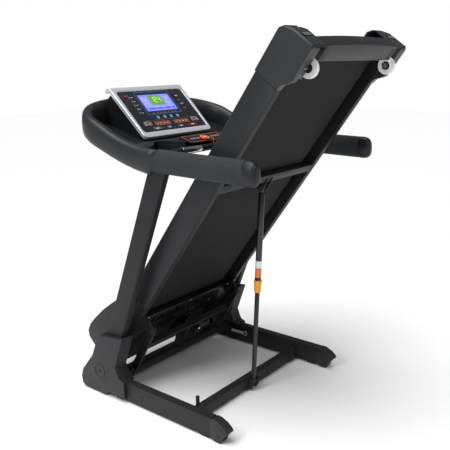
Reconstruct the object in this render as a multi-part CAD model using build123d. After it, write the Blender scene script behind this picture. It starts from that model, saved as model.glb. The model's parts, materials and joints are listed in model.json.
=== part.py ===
from build123d import *

# Folding motor treadmill, stored folded: deck raised, underside towards the rear.
#
# Frame: millimetres, +X to the user's right, +Y to the front, +Z up, floor at Z = 0.
# The deck and the lift frame are drawn lying flat, as X, S (distance behind the fold axis)
# and N (height above the rails' underside), and are then swung up about the fold axis.
import os
from math import atan2, cos, degrees, hypot, radians, sin, tan

os.makedirs("parts", exist_ok=True)

# ---- shared clearances --------------------------------------------------------------
RUN_FIT = 0.05      # radial clearance of a wheel or roller on its pin
FREE_GAP = 0.4      # between pieces that move past each other
SEAT_GAP = 0.2      # between a moulding and the piece it is fitted over

# ---- base -----------------------------------------------------------------------------
BASE_HALF = 371.0   # outer face of a base tube
TUBE_W = 34.0
TUBE_H = 74.0
TUBE_WALL = 2.0
TUBE_Z = 8.0        # underside of the base tubes, on the rubber feet
BASE_REAR = -188.0
BASE_FRONT = 395.0
BASE_TOP = TUBE_Z + TUBE_H
BASE_IN = BASE_HALF - TUBE_W
CROSS_D = 34.0
FRONT_CROSS_D = 26.0
CROSS_H = 42.0
REAR_CROSS_Y = -66.0
FRONT_CROSS_Y = 388.0
CAP_LEN = 75.0

# ---- uprights and their covers ----------------------------------------------------------
POST_LEAN = 21.8    # degrees from vertical, towards the rear
POST_W = 30.0
POST_D = 75.0
POST_OUT = BASE_HALF - 2
POST_FOOT_Y = 400.0  # front edge where the post stands on the base tube
COVER_OUT = BASE_HALF + 16
COVER_IN = BASE_HALF - 43
COVER_WALL = 3.5
WHEEL_R = 28.0      # transport wheel
WHEEL_W = 22.0
WHEEL_Y = 436.0
WHEEL_Z = 34.0
AXLE_R = 5.0

# ---- handles and console shell -----------------------------------------------------------
ARM_X = BASE_HALF - 10
ARM_W = 45.0
GRIP_H = 80.0
GRIP_Z = 946.0      # middle of the grip at its rear end
GRIP_RISE = 1.3     # degrees, rising towards the front
GRIP_REAR = -344.0
GRIP_FRONT = 13.0
GRIP_CAP = 43.0
SEAM_SLANT = 34.0
HANDRAIL_R = 16.0
SHELL_CENTRE_Y = 323.0
SHELL_DEPTH = 215.0
SHELL_T = 4.0
RIM_W = 34.0        # thickness of the shell's front wall
# shell from the side: (y, z) along its upper rim, its lower hem and the tray inside it
RIM = [(13, 992), (70, 994), (163, 1012), (248, 1043), (313, 1074), (383, 1099), (453, 1121), (560, 1148)]
HEM = [(13, 906), (70, 908), (143, 922), (218, 944), (305, 976), (372, 1000), (450, 1012), (560, 1020)]
FLOOR = [(60, 978), (160, 984), (245, 987), (300, 997), (420, 1030), (560, 1062)]
# tray's rear edge from above, right side, from the arm to the shelf: (x, y)
TRAY_EDGE = [(340, 105), (285, 120), (235, 165), (188, 187), (155, 140), (124, 92), (114, 92), (114, 165)]
TRAY_REAR = 60.0
CROSS_BAR_Y = 70.0
CROSS_BAR_Z = 965.0
CROSS_BAR_R = 10.0

# ---- console ------------------------------------------------------------------------------
PANEL_Y = 246.0     # lower edge of the bezel's face
PANEL_Z = 1002.0
PANEL_TILT = 44.5   # degrees from horizontal
PANEL_L = 248.0
PANEL_HALF = 198.0
PANEL_NARROW = 8.0   # the face is this much narrower each side at its lower edge
BEZEL_T = 16.0
FACE_HALF = 180.0
FACE_LOW = 24.0     # lower and upper edge of the black face, along the slope
FACE_HIGH = 232.0
FACE_T = 3.0
SCREEN_HALF = 85.0
SCREEN_LOW = 125.0
SCREEN_HIGH = 210.0
POD_HALF = 180.0
POD_WALL = 4.0
KEY_PROUD = 1.2
KEY_T = 5.0
KEYS = {  # name: (x, t, width, height)
    "start_key": (-100, 38, 46, 14),
    "program_key": (-33, 38, 26, 12),
    "mode_key": (33, 38, 26, 12),
    "stop_key": (100, 38, 46, 14),
    "incline_down_key": (-145, 62, 16, 15),
    "incline_up_key": (-121, 62, 16, 15),
    "speed_down_key": (121, 62, 16, 15),
    "speed_up_key": (145, 62, 16, 15),
}
SHELF_HALF = 112.0
SHELF_REAR = (90, 983)
SHELF_TOP = (162, 1003)
SHELF_NARROW = 5.0
SHELF_T = 22.0
SAFETY_X = -15.0
SAFETY_ALONG = 24.0  # safety key, from the shelf's rear edge
SAFETY_R = 19.0
CORD_R = 2.0

# ---- fold axis and deck -------------------------------------------------------------------
FOLD_Y = 315.0
FOLD_Z = 66.0
FOLD_ANGLE = 54.0   # deck angle from horizontal when stored
FOLD_DROP = 70.0    # fold axis below the rails' underside
RAIL_OUT = 302.0
RAIL_W = 25.0
RAIL_H = 54.0
RAIL_WALL = 2.0
DECK_HALF = 305.0   # outer face of the foot rails
DECK_H = 96.0
DECK_FRONT = -40.0
RAIL_FRONT = -10.0
CAP_START = 1333.0
DECK_END = 1503.0
BELT_HALF = 230.0
BELT_T = 2.0
ROLLER_R = 25.0
ROLLER_N = 52.0
ROLLER_SHAFT_R = 8.5
FRONT_ROLLER_S = 215.0
REAR_ROLLER_S = 1446.0
BOARD_T = 18.0
BOARD_HALF = 272.0
FOOT_IN = 234.0
HOOD_END = 330.0
HOOD_T = 3.0
PAN_END = 264.0
PAN_T = 3.0
# hood from the side: (along the deck, above the rails' underside)
HOOD_LINE = [(DECK_FRONT, 131), (DECK_FRONT + 6, 163), (DECK_FRONT + 26, 184), (23, 189), (63, 183),
             (134, 168), (194, 149), (280, 118), (HOOD_END, DECK_H)]
CAP_DROP = 30.0     # how far the rear caps hang below the rails
DECK_WHEEL_R = 30.0
DECK_WHEEL_W = 20.0
DECK_WHEEL_S = 1427.0
DECK_WHEEL_N = -26.0
DECK_WHEEL_X = 253.0
MID_CROSS_S = 933.0
MID_CROSS_D = 35.0
MID_CROSS_H = 20.0

# ---- lift frame and its motor --------------------------------------------------------------
LIFT_S = 242.0      # lift hinge on the deck
LIFT_N = -47.0
LIFT_HALF = 262.0
LIFT_BAR = 12.0
LIFT_BAR_D = 30.0
LIFT_TUBE_R = 20.0
EAR_LEFT = -4.0
EAR_RIGHT = 72.0
EAR_T = 8.0
SCREW_X = 34.0
SCREW_S = 82.0
SCREW_N = -40.0
LEAD_R = 6.0        # lead screw, and the tube it drives
PUSH_R = 11.0
LIFT_MOTOR_S = 22.0
LIFT_MOTOR_N = 122.0

# ---- drive -----------------------------------------------------------------------------------
MOTOR_R = 46.0
MOTOR_L = 150.0
MOTOR_S = 92.0
MOTOR_N = 82.0
MOTOR_X = -118.0
DRIVE_PULLEY_R = 13.0
ROLLER_PULLEY_R = 31.0
PULLEY_X = -249.0
PULLEY_W = 14.0
DRIVE_BELT_T = 2.0

# ---- gas strut ----------------------------------------------------------------------------------
STRUT_FOOT_Y = -99.0
STRUT_FOOT_Z = 44.0
STRUT_TOP_S = 887.0
STRUT_TOP_N = 8.0
STRUT_OUT_R = 12.0
STRUT_IN_R = 9.0
STRUT_STROKE = 308.0
STRUT_SPLIT = 0.541  # share of the strut's length that is the thin lower tube
STRUT_EYE_R = 11.0
STRUT_EYE_HALF = 10.0
LUG_IN = 13.0
LUG_T = 4.0
PIN_R = 5.0
STRUT_PIN_R = 6.0


# ---- small makers ------------------------------------------------------------------------------
def box(x0, x1, y0, y1, z0, z1):
    return Pos((x0 + x1) / 2, (y0 + y1) / 2, (z0 + z1) / 2) * Box(abs(x1 - x0), abs(y1 - y0), abs(z1 - z0))


def x_rod(radius, x0, x1, y, z):
    return Pos((x0 + x1) / 2, y, z) * Rot(0, 90, 0) * Cylinder(radius, abs(x1 - x0))


def x_ring(outer, inner, x0, x1, y, z):
    return x_rod(outer, x0, x1, y, z) - x_rod(inner, x0 - 1, x1 + 1, y, z)


def side_shape(points, x0, x1):
    """A closed outline in Y, Z made into a slab from x0 to x1."""
    outline = Polyline(*[(0, y, z) for y, z in points], close=True)
    return Pos(x0, 0, 0) * extrude(make_face(outline), x1 - x0, dir=(1, 0, 0))


def mirrored(shape):
    return mirror(shape, Plane.YZ)


def rounded(shape, axis, radius):
    """Fillet the straight edges that run along an axis."""
    return fillet(shape.edges().filter_by(axis), radius)


def tube_box(x0, x1, y0, y1, z0, z1, wall, along):
    """A rectangular tube, open at both ends of the axis it runs along."""
    grow = {"x": (5, -wall, -wall), "y": (-wall, 5, -wall), "z": (-wall, -wall, 5)}[along]
    hole = box(x0 - grow[0], x1 + grow[0], y0 - grow[1], y1 + grow[1], z0 - grow[2], z1 + grow[2])
    return box(x0, x1, y0, y1, z0, z1) - hole


def flat_box(x0, x1, s0, s1, n0, n1):
    return box(x0, x1, -s1, -s0, n0, n1)


def flat_side(points, x0, x1):
    return side_shape([(-s, n) for s, n in points], x0, x1)


def flat_rod(radius, x0, x1, s, n):
    return x_rod(radius, x0, x1, -s, n)


def flat_ring(outer, inner, x0, x1, s, n):
    return x_ring(outer, inner, x0, x1, -s, n)


def folded(shape):
    """Swing a flat deck piece up about the fold axis."""
    return Pos(0, FOLD_Y, FOLD_Z) * Rot(-FOLD_ANGLE, 0, 0) * Pos(0, 0, FOLD_DROP) * shape


def folded_point(s, n):
    a = radians(FOLD_ANGLE)
    up = n + FOLD_DROP
    return (FOLD_Y - s * cos(a) + up * sin(a), FOLD_Z + s * sin(a) + up * cos(a))


def on_panel(shape):
    """Place a piece drawn flat: X, T up the slope, Z out of the bezel's face."""
    return Pos(0, PANEL_Y, PANEL_Z) * Rot(PANEL_TILT, 0, 0) * shape


nodes = {}


def keep(name, *shapes):
    """Add the solids of some shapes to a node."""
    for shape in shapes:
        nodes.setdefault(name, []).extend(shape.solids())


def keep_pair(name, *shapes):
    """Put a right-hand and a left-hand piece in one node; they are drawn for +X."""
    for shape in shapes:
        keep(name, shape, mirrored(shape))


def post_edge(z):
    """Y of the post's front face at height z."""
    return POST_FOOT_Y - (z - BASE_TOP) * tan(radians(POST_LEAN))


# ---- base frame ---------------------------------------------------------------------------------
def make_base():
    tube = tube_box(BASE_IN, BASE_HALF, BASE_REAR, BASE_FRONT, TUBE_Z, BASE_TOP, TUBE_WALL, "y")
    fork_x = (BASE_IN + 4, BASE_HALF - 8)
    forks = []
    for x in fork_x:
        plate = box(x, x + 4, BASE_FRONT - 2, WHEEL_Y + 12, WHEEL_Z - 10, WHEEL_Z + 24)
        forks.append(plate - x_rod(AXLE_R, x - 1, x + 5, WHEEL_Y, WHEEL_Z))
    end = box(BASE_IN + 1, BASE_HALF - 1, BASE_FRONT - 3, BASE_FRONT, TUBE_Z + 1, BASE_TOP - 1)
    keep_pair("base_tubes", tube + end + forks[0] + forks[1])
    keep_pair("transport_axles", x_rod(AXLE_R, fork_x[0] - 3, fork_x[1] + 7, WHEEL_Y, WHEEL_Z))
    middle = (fork_x[0] + fork_x[1] + 4) / 2
    half = min(WHEEL_W, fork_x[1] - fork_x[0] - 4 - 2 * FREE_GAP) / 2
    wheel = x_ring(WHEEL_R, AXLE_R + RUN_FIT, middle - half, middle + half, WHEEL_Y, WHEEL_Z)
    keep("transport_wheel_right", wheel)
    keep("transport_wheel_left", mirrored(wheel))

    top = TUBE_Z + CROSS_H
    rear = tube_box(-BASE_IN, BASE_IN, REAR_CROSS_Y - CROSS_D / 2, REAR_CROSS_Y + CROSS_D / 2,
                    TUBE_Z, top, TUBE_WALL, "x")
    front = tube_box(-BASE_IN, BASE_IN, FRONT_CROSS_Y - FRONT_CROSS_D / 2,
                     FRONT_CROSS_Y + FRONT_CROSS_D / 2, TUBE_Z, top, TUBE_WALL, "x")
    keep("base_crossbars", rear, front)

    back = REAR_CROSS_Y - CROSS_D / 2
    plate = box(BASE_IN - 52, BASE_IN, back - 4, back, TUBE_Z, BASE_TOP - 12)
    plate -= Pos(BASE_IN - 36, back - 2, top + 6) * Rot(90, 0, 0) * Cylinder(5, 12)
    stub = Pos(BASE_IN - 40, REAR_CROSS_Y, top + 22) * Cylinder(7, 44)
    keep("base_brackets", plate, mirrored(plate), mirrored(stub))


def make_foot_caps():
    rear = BASE_REAR
    tip = rear - CAP_LEN
    outline = [(rear, TUBE_Z), (rear, BASE_TOP + 2), (rear - 26, BASE_TOP), (rear - 52, BASE_TOP - 11),
               (tip + 4, 56), (tip, 47), (tip + 12, 36), (tip + 24, 20), (tip + 28, 6), (tip + 34, 0),
               (tip + 56, 0), (rear - 8, 6)]
    cap = side_shape(outline, BASE_IN - 1, BASE_HALF + 1)
    cap = fillet(cap.edges().filter_by(Axis.X).sort_by(Axis.Z)[-4:], 8)
    inset = TUBE_WALL + SEAT_GAP
    cap += box(BASE_IN + inset, BASE_HALF - inset, rear, rear + 30, TUBE_Z + inset, BASE_TOP - inset)
    hole = x_rod(3.5, BASE_HALF - 6, BASE_HALF + 2, rear - 38, 28)
    keep_pair("foot_caps", cap - hole)
    pads = []
    for y in (BASE_REAR + 12, BASE_FRONT - 135):
        for side in (-1, 1):
            x = side * (BASE_HALF - TUBE_W / 2)
            pads.append(rounded(box(x - 14, x + 14, y, y + 40, 0, TUBE_Z), Axis.Z, 6))
    keep("rubber_feet", *pads)


def make_posts():
    lean = tan(radians(POST_LEAN))
    depth = POST_D / cos(radians(POST_LEAN))
    top = GRIP_Z + 6

    def bar(inset, x0, x1):
        deep = inset / cos(radians(POST_LEAN))
        y = post_edge(BASE_TOP)
        rise = top - BASE_TOP
        points = [(y - deep, BASE_TOP), (y - depth + deep, BASE_TOP),
                  (y - depth + deep - rise * lean, top), (y - deep - rise * lean, top)]
        return side_shape(points, x0, x1)

    post = rounded(bar(0, POST_OUT - POST_W, POST_OUT), Axis((0, 0, 0), (0, -lean, 1)), 6)
    post -= bar(2, POST_OUT - POST_W + 2, POST_OUT - 2)
    reach = Pos(ARM_X, 0, handrail_z(0)) * Rot(GRIP_RISE, 0, 0) * Rot(90, 0, 0)
    keep_pair("posts", post - reach * Cylinder(HANDRAIL_R, 900))


def post_space(z0, z1):
    """Room for the right-hand post, with a little clearance, between two heights."""
    g = SEAT_GAP
    deep = POST_D / cos(radians(POST_LEAN))
    return side_shape([(post_edge(z0) + g, z0), (post_edge(z0) - deep - g, z0),
                       (post_edge(z1) - deep - g, z1), (post_edge(z1) + g, z1)],
                      POST_OUT - POST_W - g, POST_OUT + g)


def handrail_z(y):
    return GRIP_Z + (y - GRIP_REAR) * tan(radians(GRIP_RISE))


def handle_bar(maker, y0, y1):
    """A round or oval bar along the handle's axis between two Y values."""
    middle = (y0 + y1) / 2
    place = Pos(ARM_X, middle, handrail_z(middle)) * Rot(GRIP_RISE, 0, 0) * Rot(90, 0, 0)
    return place * maker((y1 - y0) / cos(radians(GRIP_RISE)))


def make_covers():
    outline = [(227, 268), (356, 254), (377, 223), (408, 155), (472, 79), (484, 44), (479, 14), (462, 4),
               (346, 4), (322, 20), (232, 20), (232, BASE_TOP + 2), (256, 94), (275, 139)]
    shell = side_shape(outline, COVER_IN, COVER_OUT)
    shell = fillet(shell.edges().group_by(Axis.X)[-1], 3)
    inner = offset(make_face(Polyline(*[(0, y, z) for y, z in outline], close=True)), -COVER_WALL)
    shell -= Pos(COVER_IN + COVER_WALL, 0, 0) * extrude(
        inner, COVER_OUT - COVER_IN - 2 * COVER_WALL, dir=(1, 0, 0))
    g = SEAT_GAP
    shell -= box(BASE_IN - g, BASE_HALF + g, 200, BASE_FRONT + g, TUBE_Z - g, BASE_TOP + g)
    shell -= box(BASE_IN - g, BASE_HALF + g, 225, 480, -1, WHEEL_Z + 14)
    lean = tan(radians(POST_LEAN))
    front = post_edge(BASE_TOP) + g
    back = front - POST_D / cos(radians(POST_LEAN)) - 2 * g
    rise = 300
    shell -= side_shape([(front, BASE_TOP), (back, BASE_TOP), (back - rise * lean, BASE_TOP + rise),
                         (front - rise * lean, BASE_TOP + rise)], POST_OUT - POST_W - g, POST_OUT + g)
    shell -= box(COVER_IN - 1, BASE_IN, 200, FRONT_CROSS_Y + FRONT_CROSS_D / 2 + 2, -1, BASE_TOP + g)
    boss = x_ring(31, 26, COVER_OUT, COVER_OUT + 1.5, 369, 98)
    boss += x_ring(9, 3.5, COVER_OUT, COVER_OUT + 1.5, 369, 98)
    keep_pair("post_covers", shell + boss)


def seam_side(front, gap):
    """The space ahead of (or behind) the slanted joint between a grip and the console shell."""
    top, bottom = GRIP_FRONT, GRIP_FRONT + SEAM_SLANT
    far = 900 if front else -900
    step = gap if front else -gap
    middle = handrail_z(GRIP_FRONT)
    points = [(top + step, middle + GRIP_H), (top + step, middle + GRIP_H / 2),
              (bottom + step, middle - GRIP_H / 2), (bottom + step, middle - GRIP_H),
              (far, middle - GRIP_H), (far, middle + GRIP_H * 3)]
    if front:
        points[0] = (top + step, middle + GRIP_H * 3)
    else:
        points[-1] = (far, middle + GRIP_H)
    return side_shape(points, -500, 500)


def make_handles():
    keep_pair("posts", handle_bar(lambda length: Cylinder(HANDRAIL_R, length)
                                     - Cylinder(HANDRAIL_R - 2, length + 2), GRIP_REAR, 70))

    def oval(length, shrink=0.0):
        sketch = Ellipse(ARM_W / 2 - shrink, GRIP_H / 2 - shrink)
        return Pos(0, 0, -length / 2) * extrude(sketch, length)

    grip = handle_bar(oval, GRIP_REAR, GRIP_FRONT + SEAM_SLANT + 20) - handle_bar(
        lambda length: Cylinder(HANDRAIL_R, length), GRIP_REAR - 5, GRIP_FRONT + 100)
    grip = (grip & seam_side(False, 0.15)) - post_space(860, 954)
    keep_pair("grips", grip.solids().sort_by(SortBy.VOLUME)[-1])
    end = GRIP_REAR - GRIP_CAP
    cap = handle_bar(oval, end, GRIP_REAR)
    cap = fillet(cap.edges().group_by(Axis.Y)[0], 11)
    keep_pair("grip_caps", cap)


# ---- console shell ------------------------------------------------------------------------------
def band(shift_low, shift_high, x_half):
    """The space between the shell's lower hem and its rim, seen from the side."""
    low = Spline(*[(0, y, z + shift_low) for y, z in HEM])
    high = Spline(*[(0, y, z + shift_high) for y, z in RIM])
    ends = Line(high @ 1, low @ 1) + Line(low @ 0, high @ 0)
    face = make_face(low + high + ends)
    return Pos(-x_half, 0, 0) * extrude(face, 2 * x_half, dir=(1, 0, 0))


def shell_plan(inset, front_inset, y_rear):
    """The shell's outline from above, open ends at y_rear, as a tall block."""
    half = ARM_X + ARM_W / 2 - inset
    oval = Pos(0, SHELL_CENTRE_Y, 0) * Ellipse(half, SHELL_DEPTH - front_inset)
    straight = Pos(0, (SHELL_CENTRE_Y + y_rear) / 2, 0) * Rectangle(2 * half, SHELL_CENTRE_Y - y_rear)
    front = Pos(0, SHELL_CENTRE_Y + 200, 0) * Rectangle(2 * half + 10, 400)
    return Pos(0, 0, 700) * extrude(straight + (oval & front), 700)


def make_shell():
    y0 = GRIP_FRONT - 5
    plan = shell_plan(0, 0, y0)
    well = shell_plan(ARM_W, RIM_W, y0 - 20)
    wall = band(0, 0, 420) & (plan - well)
    hollow = band(SHELL_T, -SHELL_T, 420) & (shell_plan(SHELL_T, SHELL_T, y0 - 30)
                                             - shell_plan(ARM_W - SHELL_T, RIM_W - SHELL_T, y0 - 40))
    lip = shell_plan(ARM_W - SHELL_T, RIM_W - SHELL_T, TRAY_REAR) & tray_block(0)
    shell = (wall - hollow + (lip & well & tray_plan())) & seam_side(True, 0.15)
    g = SEAT_GAP
    for side in (1, -1):
        bar = handle_bar(lambda length: Cylinder(HANDRAIL_R + g, length), -20, 71)
        room = post_space(850, 1000) + bar
        shell -= room if side > 0 else mirrored(room)
    shell -= x_rod(CROSS_BAR_R + g, -ARM_X, ARM_X, CROSS_BAR_Y, CROSS_BAR_Z)
    keep("console_shell", shell)


def tray_block(shift):
    line = Spline(*[(0, y, z + shift) for y, z in FLOOR])
    under = Spline(*[(0, y, z + shift - SHELL_T) for y, z in FLOOR])
    face = make_face(line + under + Line(line @ 0, under @ 0) + Line(line @ 1, under @ 1))
    return Pos(-420, 0, 0) * extrude(face, 840, dir=(1, 0, 0))


def tray_plan():
    """The tray from above: its rear edge steps back round a hand hollow on each side of the shelf."""
    right = [(x, y, 900) for x, y in TRAY_EDGE]
    left = [(-x, y, 900) for x, y in reversed(TRAY_EDGE)]
    outline = Polyline(*right, *left, (-340, 700, 900), (340, 700, 900), close=True)
    return extrude(make_face(outline), 300, dir=(0, 0, 1))


# ---- console pod ----------------------------------------------------------------------------------
def panel_point(t, out):
    a = radians(PANEL_TILT)
    return (PANEL_Y + t * cos(a) - out * sin(a), PANEL_Z + t * sin(a) + out * cos(a))


def make_pod():
    back = -BEZEL_T
    start = panel_point(26, back)
    end = panel_point(PANEL_L - 4, back)
    outline = [start, end, (end[0] + 26, end[1] - 22), (end[0] + 40, end[1] - 60), (end[0] + 40, 1038),
               (420, 1026), (start[0] + 20, 992)]
    pod = side_shape(outline, -POD_HALF, POD_HALF)
    pod = fillet(pod.edges().filter_by(Axis.X).sort_by(Axis.Y)[-3:], 9)
    face = make_face(Polyline(*[(0, y, z) for y, z in outline], close=True))
    inner = Pos(-POD_HALF + POD_WALL, 0, 0) * extrude(offset(face, -POD_WALL), 2 * (POD_HALF - POD_WALL),
                                                     dir=(1, 0, 0))
    pod = pod - inner - tray_block(0) - tray_block(-SHELL_T + 0.5)
    window = on_panel(box(-FACE_HALF + 8, FACE_HALF - 8, FACE_LOW + 8, FACE_HIGH - 8, -BEZEL_T - 12, 0))
    keep("console_pod", pod - window)

    plate = on_panel(Pos(0, PANEL_L / 2, -BEZEL_T / 2) * Box(2 * PANEL_HALF, PANEL_L, BEZEL_T))
    nose_line = [(0, 0), (12, -6), (17, -18), (12, -32), (7, -30), (0, -BEZEL_T)]
    nose = side_shape([panel_point(PANEL_L + t, out) for t, out in nose_line], -PANEL_HALF, PANEL_HALF)
    bezel = plate + nose
    for side in (-1, 1):
        wedge = Polyline((side * PANEL_HALF, -1, 0), (side * (PANEL_HALF - PANEL_NARROW), -1, 0),
                         (side * PANEL_HALF, PANEL_L * 0.8, 0), close=True)
        bezel -= on_panel(Pos(0, 0, -BEZEL_T - 30) * extrude(make_face(wedge), 60))
    corner_line = Vector(0, -sin(radians(PANEL_TILT)), cos(radians(PANEL_TILT)))
    corners = bezel.edges().filter_by(Axis((0, 0, 0), corner_line)).sort_by(Axis.Z)
    bezel = fillet(corners[:2], 18)
    rim = bezel.faces().sort_by(Axis((0, PANEL_Y, PANEL_Z), corner_line))[-1]
    bezel = fillet(rim.edges(), 3)
    opening = box(-FACE_HALF, FACE_HALF, FACE_LOW, FACE_HIGH, -BEZEL_T - 1, 1)
    opening = rounded(opening, Axis.Z, 14)
    ledge = box(-FACE_HALF - 5, FACE_HALF + 5, FACE_LOW - 5, FACE_HIGH + 5, -BEZEL_T - 1, -FACE_T - 2)
    bezel -= on_panel(opening) + on_panel(ledge)
    keep("console_bezel", bezel)
    return opening


def make_face_panel():
    g = SEAT_GAP
    blank = box(-FACE_HALF + g, FACE_HALF - g, FACE_LOW + g, FACE_HIGH - g, -FACE_T - 2, -2)
    panel = rounded(blank, Axis.Z, 14 - g)
    panel -= box(-SCREEN_HALF, SCREEN_HALF, SCREEN_LOW, SCREEN_HIGH, -10, 0)
    for name, (x, t, wide, high) in KEYS.items():
        hole = box(x - wide / 2 - FREE_GAP, x + wide / 2 + FREE_GAP,
                   t - high / 2 - FREE_GAP, t + high / 2 + FREE_GAP, -10, 0)
        panel -= rounded(hole, Axis.Z, 3 + FREE_GAP)
        key = box(x - wide / 2, x + wide / 2, t - high / 2, t + high / 2, -2 - KEY_T, -2 + KEY_PROUD)
        keep(name, on_panel(rounded(key, Axis.Z, 3)))
    keep("face_panel", on_panel(panel))
    lens = box(-SCREEN_HALF + g, SCREEN_HALF - g, SCREEN_LOW + g, SCREEN_HIGH - g, -FACE_T - 2, -2.2)
    keep("display_lens", on_panel(lens))
    module = box(-SCREEN_HALF - 4, SCREEN_HALF + 4, SCREEN_LOW - 4, SCREEN_HIGH + 4, -13, -FACE_T - 2.3)
    board = box(-FACE_HALF + 12, FACE_HALF - 12, FACE_LOW + 12, FACE_HIGH - 12, -24, -22.4)
    posts = [Pos(x, t, -17.7) * Cylinder(3, 9.4) for x in (-148, 148) for t in (100, 214)]
    keep("console_board", on_panel(module + board + sum_of(posts)))


def shelf_angle():
    return degrees(atan2(SHELF_TOP[1] - SHELF_REAR[1], SHELF_TOP[0] - SHELF_REAR[0]))


def on_shelf(shape):
    """X, T forward from the shelf's rear edge, Z out of its upper face."""
    return Pos(0, SHELF_REAR[0], SHELF_REAR[1]) * Rot(shelf_angle(), 0, 0) * shape


def make_shelf():
    length = hypot(SHELF_TOP[0] - SHELF_REAR[0], SHELF_TOP[1] - SHELF_REAR[1])
    top_half = SHELF_HALF - SHELF_NARROW
    plan = make_face(Polyline((-SHELF_HALF, 0, 0), (SHELF_HALF, 0, 0), (top_half, length, 0),
                              (-top_half, length, 0), close=True))
    slab = rounded(Pos(0, 0, -SHELF_T) * extrude(plan, SHELF_T, dir=(0, 0, 1)), Axis.Z, 8)
    legs = box(-SHELF_HALF + 14, SHELF_HALF - 14, 34, length - 2, -60, -SHELF_T)
    shelf = on_shelf(slab + legs) - tray_block(0) - tray_block(-3) - tray_block(-6)
    shelf &= box(-200, 200, 0, 400, 961, 1100)
    socket = on_shelf(Pos(SAFETY_X, SAFETY_ALONG, -3) * Cylinder(13 + FREE_GAP, 8))
    keep("key_shelf", shelf - socket)
    stem = Pos(SAFETY_X, SAFETY_ALONG, -2.5) * Cylinder(13, 8)
    key = on_shelf(stem + Pos(SAFETY_X, SAFETY_ALONG, 4) * Cylinder(SAFETY_R, 7))
    keep("safety_key", key)
    route = [(3.6, 110, 993), (10, 106, 993), (13, 98, 990.5), (11, 90, 987.4), (8, 86.6, 981), (6, 86, 972),
             (4, 86, 962)]
    path = Spline(*route)
    cord = sweep(Plane(path @ 0, z_dir=path % 0) * Circle(CORD_R), path=path)
    keep("safety_key_cord", cord - key)
    end = path @ 1
    tag = box(end.X - 6, end.X + 6, end.Y - 2.5, end.Y + 2.5, end.Z - 16, end.Z)
    keep("safety_key_tag", rounded(tag, Axis.Y, 3) - cord)


def make_pulse_bar():
    y, z = CROSS_BAR_Y, CROSS_BAR_Z
    half = ARM_X - ARM_W / 2 + SHELL_T
    keep("cross_handle", x_ring(CROSS_BAR_R, CROSS_BAR_R - 2, -half, half, y, z))
    plate = x_ring(CROSS_BAR_R + 1, CROSS_BAR_R, 88, 190, y, z)
    keep_pair("pulse_plates", plate)


# ---- deck -------------------------------------------------------------------------------------------
def make_deck_frame():
    rail = tube_box(RAIL_OUT - RAIL_W, RAIL_OUT, -DECK_END + 20, -RAIL_FRONT, 0, RAIL_H, RAIL_WALL, "y")
    keep_pair("deck_rails", folded(rail))
    inner = RAIL_OUT - RAIL_W
    bars = []
    middle = flat_box(-inner, inner, MID_CROSS_S - MID_CROSS_D / 2, MID_CROSS_S + MID_CROSS_D / 2,
                      0, MID_CROSS_H)
    low = PAN_T + SEAT_GAP
    front = flat_box(-inner, inner, PAN_END - 34, PAN_END - 4, low, low + 15)
    nose = flat_box(-inner, inner, RAIL_FRONT + 2, RAIL_FRONT + 28, low, low + 5)
    plate = flat_box(MOTOR_X - 70, MOTOR_X + 70, RAIL_FRONT + 4, PAN_END - 34, low + 5, low + 9)
    keep("deck_crossmembers", folded(middle), folded(front), folded(nose), folded(plate))

    for side in (-1, 1):
        x0 = LIFT_HALF + 2
        ear = flat_side([(LIFT_S - 46, 0), (LIFT_S + 34, 0),
                         (LIFT_S + 14, LIFT_N - 8), (LIFT_S + 5, LIFT_N - 16),
                         (LIFT_S - 7, LIFT_N - 16), (LIFT_S - 16, LIFT_N - 8)], x0, x0 + 5)
        foot = flat_box(x0, RAIL_OUT - 4, LIFT_S - 46, LIFT_S + 34, -4, 0)
        pin = flat_rod(7, LIFT_HALF - LIFT_BAR - 3, x0 + 10, LIFT_S, LIFT_N)
        piece = folded(ear + foot + pin)
        keep("deck_brackets", piece if side > 0 else mirrored(piece))


def make_running_gear():
    board_top = ROLLER_N + ROLLER_R
    board = flat_box(-BOARD_HALF, BOARD_HALF, FRONT_ROLLER_S + 45, REAR_ROLLER_S - 42,
                     board_top - BOARD_T, board_top - RUN_FIT)
    keep("running_board", folded(board))
    blocks = []
    low = board_top - BOARD_T - 14
    for s in (300, 560, 820, 1080, 1340):
        for side in (-1, 1):
            x = side * (BELT_HALF + 24)
            ledge = flat_box(side * (BELT_HALF + 8), side * (RAIL_OUT - RAIL_W),
                             s - 20, s + 20, low - 3, low)
            blocks.append(folded(Pos(x, -s, low + 7) * Cylinder(13, 14)))
            keep("deck_brackets", folded(ledge))
    keep("board_cushions", *blocks)

    inner = ROLLER_R + RUN_FIT
    outer = inner + BELT_T

    def loop(radius, half):
        middle = flat_box(-half, half, FRONT_ROLLER_S, REAR_ROLLER_S, ROLLER_N - radius, ROLLER_N + radius)
        front = flat_rod(radius, -half, half, FRONT_ROLLER_S, ROLLER_N)
        rear = flat_rod(radius, -half, half, REAR_ROLLER_S, ROLLER_N)
        return middle + front + rear

    keep("running_belt", folded(loop(outer, BELT_HALF) - loop(inner, BELT_HALF + 5)))
    for name, s in (("front", FRONT_ROLLER_S), ("rear", REAR_ROLLER_S)):
        bore = ROLLER_SHAFT_R + RUN_FIT
        roller = flat_ring(ROLLER_R, bore, -BELT_HALF - 6, BELT_HALF + 6, s, ROLLER_N)
        if name == "front":
            roller += flat_ring(ROLLER_PULLEY_R, bore, PULLEY_X - PULLEY_W / 2, PULLEY_X + PULLEY_W / 2,
                                s, ROLLER_N)
            roller += flat_ring(14, bore, PULLEY_X, -BELT_HALF, s, ROLLER_N)
        keep(name + "_roller", folded(roller))
        shaft = flat_rod(ROLLER_SHAFT_R, -RAIL_OUT + RAIL_W, RAIL_OUT - RAIL_W, s, ROLLER_N)
        keep("deck_shafts", folded(shaft))


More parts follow.
